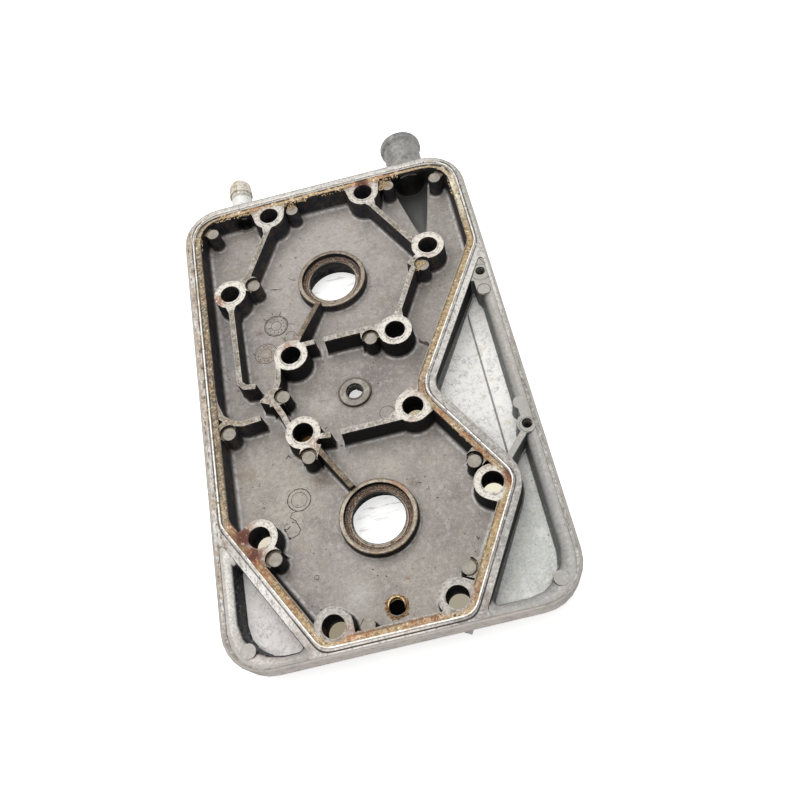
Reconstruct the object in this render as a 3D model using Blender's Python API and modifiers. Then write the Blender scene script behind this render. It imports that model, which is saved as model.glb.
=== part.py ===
"""Die-cast cylinder head cover of a liquid-cooled twin two-stroke engine.

The cover lies on its outer face with the water jacket upwards. X runs across the engine,
Y runs along it towards the hose spigot, Z points up. The shapes are drawn about the point
midway between the two plug holes, in the plane on which the cover rests. One empty then
moves them all so that the origin lies under the middle of the whole outline.
"""
import bpy
import bmesh
from math import atan2, cos, pi, radians, sin, tan
from mathutils import Vector

# Plug holes and bolt circles
PLUG_SPACING = 0.120
BOLT_CIRCLE_RADIUS = 0.047
BOLT_HOLE_RADIUS = 0.0045
BOLT_BOSS_RADIUS = 0.0075
BOLT_SEAT_RADIUS = 0.0086
BOLT_SEAT_DEPTH = 0.0132

# Body of the casting, depths are below the sealing face
BODY_DEPTH = 0.015
FLOOR_DEPTH = 0.0115
RIM_CORNER = 0.0185
RIM_EDGE = 0.0012
OUTER_EDGE = 0.0055
DRAFT = 0.035

# Sealing land round the water jacket, distances to its outer edge
JACKET_RIGHT = 0.0680
JACKET_LEFT = 0.0614
JACKET_TOP = 0.0492
JACKET_BOTTOM = 0.0476
LEFT_FLANK = 0.0488
RIGHT_FLANK = 0.0478
WAIST_FLANK = 0.0485
SHOULDER_FLANK = 0.0308
JACKET_CORNER = 0.014
LAND_WIDTH = 0.003
BEAD_WIDTH = 0.001
BEAD_HEIGHT = 0.0005
BAND_WIDTH = 0.0046
FLOOR_FILLET = 0.0025

# Rim beyond the outer edge of the land
RIM_MARGIN_RIGHT = 0.0040
RIM_MARGIN_LEFT = 0.0049
RIM_MARGIN_TOP = 0.0041
RIM_MARGIN_BOTTOM = 0.0042

# Dry pockets between the jacket and the rim
POCKET_EDGE = 0.0027
POCKET_STEP = 0.0005
STEP_LEDGE = 0.0001
ROLL_WIDTH = 0.0046
ROLL_DEPTH = 0.005
POCKET_FILLET = 0.002
PAD_REACH = 0.0125
PAD_ROOT_REACH = 0.0042
POCKET_PAD_REACH = 0.0098
CORNER_PAD_INSET = 0.0100
STRIP_EDGE = 0.0562
STRIP_HEIGHT = 0.0012
WEB_WIDTH = 0.0026
WEB_SINK = 0.0064

# Ribs, foot fillets and ejector pads
RIB_WIDTH = 0.0023
FOOT_FILLET = 0.0015
RIB_END_DEPTH = 0.0039
FORK_WIDTH = 0.0078
GUSSET_WIDTH = 0.0100
GUSSET_REACH = 0.0040
BLOCK_FLARE = 1.2
PAD_RADIUS = 0.0029
PAD_FOOT = 0.0012
SADDLE_FOOT = 0.0010
LINK_FOOT = 0.0003
PAD_DEPTH = 0.0013
SADDLE_DEPTH = 0.0018
SADDLE_RADIUS = 0.0039
CARRIER_REACH = 0.0020

# Plug holes
RING_DEPTH = 0.0065
RING_RADIUS = 0.0160
RING_BORE = 0.0141
PLUG_SEAT_DEPTH = 0.0088
PLUG_HOLE_RADIUS = 0.0109
PLUG_LIP_DEPTH = 0.011
WELL_RADIUS = 0.014
COLLAR_RADIUS = 0.0175

# Hose spigot, cast in one with the cover
SPIGOT_OFFSET = 0.047
SPIGOT_DEPTH = 0.0105
SPIGOT_NECK = 0.009
SPIGOT_BEAD = 0.0103
SPIGOT_BORE = 0.0072
SPIGOT_LENGTH = 0.0212
SPIGOT_BEAD_LENGTH = 0.005
TROUGH_RADIUS = 0.0088
TROUGH_LENGTH = 0.0382
TROUGH_WALL = 0.0022

# Small bosses, holes and pressed-in pieces
CENTRE_BOSS_RADIUS = 0.0074
CENTRE_BOSS_DEPTH = 0.0099
CENTRE_HOLE_RADIUS = 0.0037
SCREW_HOLE_RADIUS = 0.0022
SCREW_HOLE_DEPTH = 0.009
SCREW_HOLE_X = 0.0665
SCREW_HOLE_Y = 0.039
SCREW_BOSS_RADIUS = 0.0043
FIT_GAP = 0.0003
SLEEVE_OFFSET = 0.0355
SLEEVE_RADIUS = 0.0035
SLEEVE_BORE = 0.0027
SLEEVE_TOP = 0.0100
SLEEVE_BOTTOM = 0.0134
NIPPLE_X = -0.037
NIPPLE_DEPTH = 0.007
NIPPLE_SHANK = 0.0047
NIPPLE_RADIUS = 0.0054
NIPPLE_BARB = 0.0057
NIPPLE_BORE = 0.0037
NIPPLE_LENGTH = 0.0177

ROUND_STEPS = 20
FINE_STEPS = 40
SMALL_STEPS = 14
SMOOTH_ANGLE = radians(32)
CLEAR = 0.002

# Worked out from the sizes above
RIM_RIGHT = JACKET_RIGHT + RIM_MARGIN_RIGHT
RIM_LEFT = JACKET_LEFT + RIM_MARGIN_LEFT
RIM_TOP = PLUG_SPACING / 2 + JACKET_TOP + RIM_MARGIN_TOP
RIM_BOTTOM = PLUG_SPACING / 2 + JACKET_BOTTOM + RIM_MARGIN_BOTTOM
PAD_END = SCREW_HOLE_Y - PAD_REACH
PAD_ROOT = SCREW_HOLE_Y - PAD_ROOT_REACH
SPIGOT_END = RIM_TOP + SPIGOT_LENGTH
TROUGH_END = PLUG_SPACING / 2 + JACKET_TOP - LAND_WIDTH
TROUGH_START = TROUGH_END - TROUGH_LENGTH
SLEEVE_Y = -PLUG_SPACING / 2 - SLEEVE_OFFSET
NIPPLE_END = RIM_TOP + NIPPLE_LENGTH
SEAL_Z = SPIGOT_DEPTH + TROUGH_RADIUS + TROUGH_WALL
UPPER = Vector((0, PLUG_SPACING / 2))
LOWER = Vector((0, -PLUG_SPACING / 2))
JACKET_SIDES = [(90, JACKET_TOP + UPPER.y), (180, JACKET_LEFT), (210, LEFT_FLANK + PLUG_SPACING / 4),
                (270, JACKET_BOTTOM - LOWER.y), (330, RIGHT_FLANK + PLUG_SPACING / 4),
                (30, WAIST_FLANK - PLUG_SPACING / 4), (330, SHOULDER_FLANK), (0, JACKET_RIGHT)]
JACKET_RADII = [JACKET_CORNER, 0.010, 0.007, 0.007, 0.008, 0.0126, 0.012, JACKET_CORNER]


def level(depth):
    """Height of a plane that lies the given depth below the sealing face."""
    return SEAL_Z - depth


def bolt(plug, degrees):
    """Centre of the bolt hole at this angle on the bolt circle of one plug hole."""
    turn = radians(degrees)
    return plug + BOLT_CIRCLE_RADIUS * Vector((cos(turn), sin(turn)))


def new_collection(name):
    group = bpy.data.collections.new(name)
    bpy.context.scene.collection.children.link(group)
    return group


def new_material(name, colour, metallic, roughness):
    material = bpy.data.materials.new(name)
    material.use_nodes = True
    shader = material.node_tree.nodes["Principled BSDF"]
    shader.inputs["Base Color"].default_value = (*colour, 1)
    shader.inputs["Metallic"].default_value = metallic
    shader.inputs["Roughness"].default_value = roughness
    return material


def add_object(name, mesh, group):
    """Link a mesh as an object. Tools for the Booleans stay out of the part itself."""
    piece = bpy.data.objects.new(name, mesh)
    group.objects.link(piece)
    if group.name != "cylinder_head_cover":
        piece.hide_render = True
        piece.display_type = "WIRE"
    return piece


def rounded_outline(sides, radii, grow=0.0, weights=None, steps=6):
    """Corner points of a closed outline, counter-clockwise, with an arc in each corner.

    A side is the angle of its outward normal and its distance from the origin. The
    outline grows by moving each side outwards, times its own weight.
    """
    weights = weights or [1] * len(sides)
    lines = [(Vector((cos(radians(a)), sin(radians(a)))), d + grow * w)
             for (a, d), w in zip(sides, weights)]
    points = []
    for i, radius in enumerate(radii):
        (n1, d1), (n2, d2) = lines[i], lines[(i + 1) % len(lines)]
        cross = n1.x * n2.y - n1.y * n2.x
        corner = Vector((d1 * n2.y - d2 * n1.y, d2 * n1.x - d1 * n2.x)) / cross
        outward = 1 if cross > 0 else -1
        spread = grow * (weights[i] + weights[(i + 1) % len(lines)]) / 2
        arc = max(radius + outward * spread, 0.0003)
        half = abs(atan2(cross, n1.dot(n2))) / 2
        bisector = (n1 + n2).normalized() * outward
        centre = corner - bisector * arc / cos(half)
        first = atan2(outward * n1.y, outward * n1.x)
        for step in range(steps + 1):
            turn = first + outward * 2 * half * step / steps
            points.append(centre + arc * Vector((cos(turn), sin(turn))))
    return points


def route_outline(route, width, grow=0.0, taper=1.0):
    """Outline of a rib that follows a route of points, with its ends cut square."""
    points = [Vector(p) for p in route]
    left, right = [], []
    for i, point in enumerate(points):
        before = (point - points[i - 1]).normalized() if i else None
        after = (points[i + 1] - point).normalized() if i < len(points) - 1 else None
        ahead = ((before or after) + (after or before)).normalized()
        side = Vector((-ahead.y, ahead.x))
        bend = side.dot(Vector((-(before or after).y, (before or after).x)))
        reach = (width / 2 * (taper if i == len(points) - 1 else 1) + grow) / bend
        end = grow * ahead if after is None else -grow * ahead if before is None else Vector((0, 0))
        left.append(point + side * reach + end)
        right.append(point - side * reach + end)
    return right + left[::-1]


def loft(name, rings, group, closed=False):
    """Solid through rings of equal point count, each ring a list of points and a height."""
    mesh = bpy.data.meshes.new(name)
    shape = bmesh.new()
    loops = []
    for outline, z in rings:
        heights = z if isinstance(z, list) else [z] * len(outline)
        loops.append([shape.verts.new((p[0], p[1], h)) for p, h in zip(outline, heights)])
    pairs = list(zip(loops, loops[1:])) + ([(loops[-1], loops[0])] if closed else [])
    for lower, upper in pairs:
        for i in range(len(lower)):
            j = (i + 1) % len(lower)
            shape.faces.new((lower[i], lower[j], upper[j], upper[i]))
    if not closed:
        shape.faces.new(loops[0][::-1])
        shape.faces.new(loops[-1])
    bmesh.ops.recalc_face_normals(shape, faces=shape.faces)
    shape.to_mesh(mesh)
    shape.free()
    return add_object(name, mesh, group)


def turned(name, profile, centre, group, steps=ROUND_STEPS, along_y=False):
    """Turned solid: a profile of radius and height, top to bottom, with a Screw modifier."""
    mesh = bpy.data.meshes.new(name)
    ring = profile[0] == profile[-1]
    points = [(r, 0, h) for r, h in (profile[:-1] if ring else profile)]
    edges = [(i, i + 1) for i in range(len(points) - 1)] + ([(len(points) - 1, 0)] if ring else [])
    mesh.from_pydata(points, edges, [])
    piece = add_object(name, mesh, group)
    screw = piece.modifiers.new("turn", "SCREW")
    screw.steps = screw.render_steps = steps
    screw.use_merge_vertices = True
    screw.merge_threshold = 0.00001
    screw.use_smooth_shade = True
    piece.location = centre
    if along_y:
        piece.rotation_euler = (-pi / 2, 0, 0)
    return piece


def arc_profile(radius, steps):
    """Run and rise of a quarter round that starts upright and ends level."""
    turns = [pi / 2 * (i + 1) / steps for i in range(steps)]
    return [(radius * (1 - cos(t)), radius * sin(t)) for t in turns]


def standing_profile(top_depth, foot=FOOT_FILLET):
    """Growth and depth of something that stands on the jacket floor, from its top down."""
    start = FLOOR_DEPTH - foot
    steps = 2 if foot > PAD_FOOT else 1
    lean = DRAFT * (start - max(top_depth, 0))
    profile = [(0, top_depth), (lean, start)]
    profile += [(lean + run, start + rise) for run, rise in arc_profile(foot, steps)]
    return profile + [(profile[-1][0], FLOOR_DEPTH + CLEAR / 2)]


def rib(name, route, group, top_depth=-CLEAR / 2, width=RIB_WIDTH, end_depth=None, foot=FOOT_FILLET,
        taper=1.0):
    """Upright rib with draft and a foot fillet. It can fall away towards its last point."""
    rings = []
    for grow, depth in standing_profile(top_depth, foot=foot):
        heights = [level(depth)] * (2 * len(route))
        if end_depth is not None and depth == top_depth:
            heights[len(route) - 1] = heights[len(route)] = level(end_depth)
        rings.append((route_outline(route, width, grow, taper), heights))
    return loft(name, rings[::-1], group)


def boss(name, centre, radius, group, top_depth=-CLEAR / 2, foot=FOOT_FILLET):
    """Round boss or pad that stands on the jacket floor."""
    sides = [(radius + grow, level(depth)) for grow, depth in standing_profile(top_depth, foot=foot)]
    profile = [(0, sides[0][1])] + sides + [(0, sides[-1][1])]
    steps = ROUND_STEPS if radius > 0.005 else SMALL_STEPS
    return turned(name, profile, (centre[0], centre[1], 0), group, steps)


def drill(name, centre, radius, depths, group, steps=ROUND_STEPS):
    """Straight round hole between two depths."""
    top, bottom = depths
    profile = [(0, level(top)), (radius, level(top)), (radius, level(bottom)), (0, level(bottom))]
    return turned(name, profile, (centre[0], centre[1], 0), group, steps)


def cast_body(part):
    """Outer block of the casting, with its drafted wall and rounded edges."""
    sides = [(0, RIM_RIGHT), (90, RIM_TOP), (180, RIM_LEFT), (270, RIM_BOTTOM)]
    radii = [RIM_CORNER] * 4
    profile = [(-RIM_EDGE, -CLEAR / 2), (-RIM_EDGE, RIM_EDGE / 9), (-RIM_EDGE * 0.27, RIM_EDGE * 0.33),
               (0, RIM_EDGE)]
    start = BODY_DEPTH - OUTER_EDGE
    lean = DRAFT * (start - RIM_EDGE)
    profile += [(-lean, start)]
    profile += [(-lean - run, start + rise) for run, rise in arc_profile(OUTER_EDGE, 2)]
    rings = [(rounded_outline(sides, radii, grow, steps=7), level(depth)) for grow, depth in profile]
    return loft("cover", rings[::-1], part)


def outer_forms(group):
    """Forms on the outer face: the well collars, and the hump and neck of the spigot."""
    for name, plug in (("upper", UPPER), ("lower", LOWER)):
        drill("collar_" + name, plug, COLLAR_RADIUS, (BODY_DEPTH - CLEAR, SEAL_Z), group, FINE_STEPS)
    bead_start = SPIGOT_END - SPIGOT_BEAD_LENGTH
    lip = (SPIGOT_BEAD - SPIGOT_NECK) / 2
    profile = [(0, SPIGOT_END), (SPIGOT_NECK - lip, SPIGOT_END), (SPIGOT_BEAD - lip / 2, SPIGOT_END - lip),
               (SPIGOT_BEAD, SPIGOT_END - 2 * lip), (SPIGOT_BEAD, bead_start + 2 * lip),
               (SPIGOT_NECK, bead_start), (SPIGOT_NECK, RIM_TOP + CLEAR),
               (SPIGOT_NECK + lip, RIM_TOP - CLEAR), (TROUGH_RADIUS + TROUGH_WALL, TROUGH_END),
               (TROUGH_WALL, TROUGH_START), (0, TROUGH_START - TROUGH_WALL)]
    turned("spigot", profile, (SPIGOT_OFFSET, 0, level(SPIGOT_DEPTH)), group, ROUND_STEPS + 4, along_y=True)


def jacket_cutter(group):
    """Water jacket: draft on its wall and a fillet along its floor."""
    start = FLOOR_DEPTH - FLOOR_FILLET
    lean = DRAFT * start
    profile = [(2 * CLEAR * DRAFT, -2 * CLEAR), (-lean, start)]
    profile += [(-lean - run, start + rise) for run, rise in arc_profile(FLOOR_FILLET, 3)]
    rings = [(rounded_outline(JACKET_SIDES, JACKET_RADII, grow - LAND_WIDTH, steps=5), level(depth))
             for grow, depth in profile]
    loft("jacket_cutter", rings[::-1], group)


def pocket_cutter(name, sides, radii, rolled, group, weights=None):
    """Dry pocket: upright beside the jacket, rolled over where it meets the rim."""
    quarter = [pi / 2 * i / 4 for i in range(5)]
    profile = [(0, 0, -2 * CLEAR)]
    roll_top = POCKET_STEP * 0.8
    profile += [(ROLL_WIDTH * sin(t), 0, roll_top + ROLL_DEPTH * (1 - cos(t))) for t in quarter]
    start = FLOOR_DEPTH - POCKET_FILLET
    lean = DRAFT * start
    profile += [(ROLL_WIDTH, lean, start)]
    profile += [(ROLL_WIDTH, lean + run, start + rise) for run, rise in arc_profile(POCKET_FILLET, 2)]
    rings = []
    for roll, shrink, depth in profile:
        moved = [(angle, distance - roll * share) for (angle, distance), share in zip(sides, rolled)]
        rings.append((rounded_outline(moved, radii, -shrink, weights, steps=4), level(depth)))
    loft(name, rings[::-1], group)


def pocket_cutters(group):
    """The left pocket, the long right one, and the shallow step that frames both."""
    left = RIM_LEFT - POCKET_EDGE
    right = RIM_RIGHT - POCKET_EDGE
    bottom = RIM_BOTTOM - POCKET_EDGE / 2
    corner = RIM_CORNER - POCKET_EDGE
    left_flank = (30, -LEFT_FLANK - PLUG_SPACING / 4 - BAND_WIDTH)
    right_flank = (150, -RIGHT_FLANK - PLUG_SPACING / 4 - BAND_WIDTH)
    waist = (210, PLUG_SPACING / 4 - WAIST_FLANK - BAND_WIDTH)
    shoulder = (150, -SHOULDER_FLANK - BAND_WIDTH)
    left_sides = [(180, left), (270, bottom), left_flank]
    left_radii = [corner, 0.002, 0.0012]
    pocket_cutter("left_pocket", left_sides, left_radii, (1, 1, 0), group)
    pad_side = SCREW_HOLE_X - SCREW_BOSS_RADIUS + 0.0004
    right_sides = [(0, right), (90, PAD_END), (0, pad_side), (90, PAD_ROOT), shoulder, waist,
                   right_flank, (270, bottom)]
    right_radii = [0.001, PAD_RADIUS, 0.001, 0.0006, 0.0078, 0.016, 0.0025, corner]
    pocket_cutter("right_pocket", right_sides, right_radii, (1, 0, 0, 0, 0, 0, 0, 1), group,
                  (1, 1, 0, 2.2, 1, 1, 1, 1))
    step_sides = [(0, right), shoulder, waist, right_flank, (270, bottom)]
    outline = rounded_outline(step_sides, [0.0012, 0.0078, 0.016, 0.0025, corner], STEP_LEDGE, steps=4)
    loft("right_step", [(outline, level(POCKET_STEP)), (outline, level(-3 * CLEAR))], group)


def bolt_bosses(group):
    for name, plug in (("upper", UPPER), ("lower", LOWER)):
        for degrees in range(0, 360, 60):
            boss(f"{name}_boss_{degrees}", bolt(plug, degrees), BOLT_BOSS_RADIUS, group)


def land_blocks(group):
    """Solid metal between the land and the bosses that stand close to it."""
    near = [("top_left", UPPER, 120, 0), ("top_right", UPPER, 60, 0), ("low_left", LOWER, 180, 2),
            ("bottom_left", LOWER, 240, 3), ("bottom_right", LOWER, 300, 4), ("low_right", LOWER, 0, 4),
            ("waist", LOWER, 60, 5)]
    for name, plug, degrees, side in near:
        centre = bolt(plug, degrees)
        angle, distance = JACKET_SIDES[side]
        outward = Vector((cos(radians(angle)), sin(radians(angle))))
        reach = distance - LAND_WIDTH / 2 - centre.dot(outward)
        rib("block_" + name, [centre, centre + reach * outward], group, width=2 * BOLT_BOSS_RADIUS,
            taper=BLOCK_FLARE if side == 0 else 1.0)


def gusset(name, centre, start, end, group):
    """Widening of a rib where it runs into a bolt boss."""
    ahead = (Vector(end) - Vector(start)).normalized()
    reach = BOLT_BOSS_RADIUS + GUSSET_REACH - (Vector(start) - centre).dot(ahead)
    rib("gusset_" + name, [centre, Vector(start) + ahead * reach], group, width=GUSSET_WIDTH,
        taper=0.6 * RIB_WIDTH / GUSSET_WIDTH, foot=LINK_FOOT)


def jacket_ribs(group):
    """Ribs that steer the water round the two combustion chambers."""
    top_left, top_right = bolt(UPPER, 120), bolt(UPPER, 60)
    left, right = bolt(UPPER, 180), bolt(UPPER, 0)
    low_left, low_right = bolt(UPPER, 240), bolt(UPPER, 300)
    next_left, next_right = bolt(LOWER, 120), bolt(LOWER, 60)
    baffle_x = left.x - 0.0004
    baffle_end = low_left.y - 0.0100
    knee = Vector((right.x - 0.0095, right.y - 0.0112))
    fork = Vector((low_left.x - 0.0104, 0.0015))
    shelf = low_right.y + 0.0039
    gap_left, gap_right = low_left.x + 0.0112, -0.0078
    across = [(top_left + Vector((0.002, -0.0012)), left + Vector((0.0065, 0.0015))),
              (top_right + Vector((0.0005, -0.005)), right + Vector((-0.006, 0.004)))]
    rib("rib_top_left", across[0], group)
    rib("rib_baffle", [left, (baffle_x, left.y - 0.008), (baffle_x, baffle_end + 0.0022),
                       (baffle_x + 0.0020, baffle_end - 0.0004),
                       (baffle_x + 0.0066, baffle_end - 0.0012)], group)
    rib("rib_top_right", across[1], group)
    rib("rib_right", [right + Vector((-0.003, -0.004)), knee, low_right + Vector((0.0018, 0.006))], group)
    rib("rib_upper_shelf", [low_right + Vector((-0.003, 0.0039)), (gap_right, shelf)], group)
    rib("rib_upper_stub", [low_left + Vector((0.003, 0.0039)), (gap_left, shelf)], group)
    rib("rib_fork_up", [low_left + Vector((-0.0060, -0.002)), low_left + Vector((-0.0074, -0.012)), fork],
        group)
    rib("rib_fork_down", [fork, fork + Vector((0.0006, -0.0045)), next_left + Vector((-0.0074, 0.0108)),
                          next_left + Vector((-0.0052, 0.004))], group)
    gusset("top_left", top_left, *across[0], group)
    gusset("left", left, *across[0][::-1], group)
    gusset("baffle", left, left, (baffle_x, left.y - 0.008), group)
    gusset("top_right", top_right, *across[1], group)
    gusset("right", right, *across[1][::-1], group)
    gusset("low_right", low_right, low_right + Vector((0.0018, 0.006)), knee, group)
    gusset("upper_shelf", low_right, low_right + Vector((-0.003, 0.0039)), (gap_right, shelf), group)
    gusset("lower_shelf", next_right, next_right + Vector((-0.003, -0.0039)), (gap_right, -shelf), group)
    rib("rib_fork_tip", [fork + Vector((0.0007, -0.0013)), fork + Vector((-0.0057, -0.0014))], group,
        width=FORK_WIDTH, taper=0.1)
    rib("rib_wall", [(-JACKET_LEFT + LAND_WIDTH / 2, 0.0140), (-JACKET_LEFT + 0.0022, 0.0040),
                     (-JACKET_LEFT + 0.0044, -0.0032), (-JACKET_LEFT + 0.0085, -0.0070),
                     (-JACKET_LEFT + 0.0132, -0.0084), fork + Vector((-0.0065, -0.0093))], group)
    rib("rib_lower_stub", [next_left + Vector((0.003, -0.0031)), (gap_left, -shelf - 0.0001)], group)
    rib("rib_lower_shelf", [next_right + Vector((-0.003, -0.0039)), (gap_right, -shelf)], group)
    for name, start, plug in (("upper", low_left, UPPER), ("lower", next_left, LOWER)):
        ahead = (plug - start).normalized()
        end = plug - ahead * (RING_RADIUS - 0.0004)
        rib(f"rib_{name}_spoke", [start + ahead * BOLT_HOLE_RADIUS, end], group, end_depth=RIB_END_DEPTH)


def ejector_pads():
    """Ejector pads in the jacket: centre and the direction of the metal that carries each."""
    left_wall, right_wall = -JACKET_LEFT + LAND_WIDTH, JACKET_RIGHT - LAND_WIDTH
    top_wall = UPPER.y + JACKET_TOP - LAND_WIDTH
    return {
        "corner_left": ((left_wall + 0.0062, top_wall - 0.0071), (-0.7, 0.7)),
        "top_left": ((-0.0121, top_wall - 0.0046), (0, 1)),
        "top_right": ((0.0359, top_wall - 0.0042), (0, 1)),
        "corner_right": ((right_wall - 0.0063, top_wall - 0.0067), (0.7, 0.7)),
        "left": (bolt(UPPER, 180) + Vector((0.0113, 0.0023)), (-0.8, 0.5)),
        "right": (bolt(UPPER, 0) + Vector((-0.0045, -0.0096)), (-0.6, 0.8)),
        "upper_shelf": (bolt(UPPER, 300) + Vector((-0.0113, -0.0008)), (0, 1)),
        "wall": ((left_wall + 0.0036, -0.0112), (-0.6, 0.8)),
        "fork": (bolt(UPPER, 240) + Vector((-0.0062, -0.0190)), (-1, 0)),
        "lower_spoke": (bolt(LOWER, 120) + Vector((0.0006, -0.0113)), (0.4, 0.9)),
        "waist": (bolt(LOWER, 0) + Vector((-0.0048, 0.0107)), (0.8, 0.6)),
        "flank_left": (bolt(LOWER, 180) + Vector((0.0049, -0.0100)), (-0.7, 0.7)),
        "bottom": ((-0.0110, LOWER.y - JACKET_BOTTOM + LAND_WIDTH + 0.0017), (0, -1)),
        "flank_right": (bolt(LOWER, 300) + Vector((0.0065, 0.0102)), (0.9, -0.4)),
    }


BITTEN = ("wall", "fork", "lower_spoke", "flank_left", "flank_right", "left", "right", "upper_shelf",
          "waist")


def pad_carriers(group):
    """Full-height metal beside the pads whose saddles are cut out of it."""
    for name, (centre, aim) in ejector_pads().items():
        if name in BITTEN:
            centre = Vector(centre)
            reach = centre + Vector(aim).normalized() * (SADDLE_RADIUS + CARRIER_REACH)
            rib("carrier_" + name, [centre, reach], group, width=2 * SADDLE_RADIUS)


def pad_saddles(group):
    """Low bridges between the ejector pads and what carries them."""
    for name, (centre, aim) in ejector_pads().items():
        centre = Vector(centre)
        reach = centre + Vector(aim).normalized() * (PAD_RADIUS + 0.0014)
        rib("saddle_" + name, [centre, reach], group, SADDLE_DEPTH * 1.15, 1.6 * PAD_RADIUS,
            foot=SADDLE_FOOT)


def plug_rings(group):
    for name, plug in (("upper", UPPER), ("lower", LOWER)):
        sides = [(RING_RADIUS - 0.0003, level(RING_DEPTH)), (RING_RADIUS, level(RING_DEPTH + 0.0003)),
                 (RING_RADIUS + 0.0003, level(FLOOR_DEPTH - 0.001)),
                 (RING_RADIUS + 0.0013, level(FLOOR_DEPTH)),
                 (RING_RADIUS + 0.0013, level(FLOOR_DEPTH + CLEAR / 2))]
        profile = [(0, sides[0][1])] + sides + [(0, sides[-1][1])]
        turned("ring_" + name, profile, (plug.x, plug.y, 0), group, FINE_STEPS)
    sides = [(CENTRE_BOSS_RADIUS - 0.0002, level(CENTRE_BOSS_DEPTH)),
             (CENTRE_BOSS_RADIUS, level(CENTRE_BOSS_DEPTH + 0.0002)),
             (CENTRE_BOSS_RADIUS, level(FLOOR_DEPTH + CLEAR / 2))]
    turned("centre_boss", [(0, sides[0][1])] + sides + [(0, sides[-1][1])], (0, 0, 0), group)


def sealing_bead(group):
    """Thin raised bead along the outer edge of the sealing land."""
    rings = []
    for grow, depth in ((BEAD_WIDTH, CLEAR / 2), (BEAD_WIDTH * 0.8, -BEAD_HEIGHT),
                        (BEAD_WIDTH * 0.2, -BEAD_HEIGHT), (0, CLEAR / 2)):
        rings.append((rounded_outline(JACKET_SIDES, JACKET_RADII, grow, steps=5), level(depth)))
    loft("sealing_bead", rings, group, closed=True)


def pocket_forms(group):
    """What stands in the right pocket: web, screw boss, ejector pads and raised strip."""
    hole = Vector((SCREW_HOLE_X, -SCREW_HOLE_Y))
    pad = Vector((SCREW_HOLE_X - 0.0003, POCKET_PAD_REACH - SCREW_HOLE_Y))
    outer = RIM_RIGHT - POCKET_EDGE
    waist, flank = WAIST_FLANK - PLUG_SPACING / 4 + BAND_WIDTH, RIGHT_FLANK + PLUG_SPACING / 4 + BAND_WIDTH
    apex = Vector(((waist + flank) / (2 * cos(pi / 6)) - WEB_SINK, waist - flank + WEB_SINK))
    rib("pocket_web", [apex, hole + Vector((-0.0008, -0.0018))], group, POCKET_STEP, WEB_WIDTH)
    boss("screw_boss", hole, SCREW_BOSS_RADIUS, group, POCKET_STEP, LINK_FOOT)
    boss("pocket_pad_upper", pad, PAD_RADIUS + 0.0001, group, POCKET_STEP, PAD_FOOT)
    middle = (outer + pad.x - PAD_RADIUS / 2) / 2
    rib("pad_link", [(middle, pad.y), (middle, hole.y)], group, POCKET_STEP, outer - pad.x + PAD_RADIUS / 2,
        foot=LINK_FOOT)
    for name, x in (("lower", RIM_RIGHT - CORNER_PAD_INSET), ("left", -RIM_LEFT + CORNER_PAD_INSET)):
        boss("pocket_pad_" + name, (x, -RIM_BOTTOM + 0.94 * CORNER_PAD_INSET), PAD_RADIUS + 0.0001, group,
             POCKET_STEP, PAD_FOOT)
    edge = STRIP_EDGE
    wall = RIM_RIGHT - POCKET_EDGE - ROLL_WIDTH + 0.001
    top = PAD_END + 0.004
    outline = [(edge, apex.y + WEB_WIDTH / 3), (wall, hole.y - 1.4 * SCREW_BOSS_RADIUS), (wall, top),
               (edge + 0.0035, top), (edge, top - 0.006)]
    slope = STRIP_HEIGHT * 0.6
    crest = [(x + (slope if x < wall else 0), y) for x, y in outline]
    loft("floor_strip", [(outline, level(FLOOR_DEPTH + CLEAR / 2)), (outline, level(FLOOR_DEPTH)),
                         (crest, level(FLOOR_DEPTH - STRIP_HEIGHT))], group)


def plug_bores(group):
    for name, plug in (("upper", UPPER), ("lower", LOWER)):
        rim = 0.0012
        profile = [(0, level(RING_DEPTH - CLEAR)), (RING_BORE, level(RING_DEPTH - CLEAR)),
                   (RING_BORE, level(PLUG_SEAT_DEPTH)), (PLUG_HOLE_RADIUS + rim, level(PLUG_SEAT_DEPTH)),
                   (PLUG_HOLE_RADIUS, level(PLUG_SEAT_DEPTH + 0.0004)),
                   (PLUG_HOLE_RADIUS, level(PLUG_LIP_DEPTH)),
                   (WELL_RADIUS, level(PLUG_LIP_DEPTH + rim)), (WELL_RADIUS, -CLEAR), (0, -CLEAR)]
        turned("plug_bore_" + name, profile, (plug.x, plug.y, 0), group, FINE_STEPS)


def bolt_holes(group):
    for name, plug in (("upper", UPPER), ("lower", LOWER)):
        for degrees in range(0, 360, 60):
            tag = f"{name}_{degrees}"
            profile = [(0, level(-CLEAR)), (BOLT_HOLE_RADIUS, level(-CLEAR)),
                       (BOLT_HOLE_RADIUS, level(BOLT_SEAT_DEPTH)), (BOLT_SEAT_RADIUS, level(BOLT_SEAT_DEPTH)),
                       (BOLT_SEAT_RADIUS, level(BODY_DEPTH + CLEAR)), (0, level(BODY_DEPTH + CLEAR))]
            centre = bolt(plug, degrees)
            turned("bolt_hole_" + tag, profile, (centre.x, centre.y, 0), group)


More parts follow.
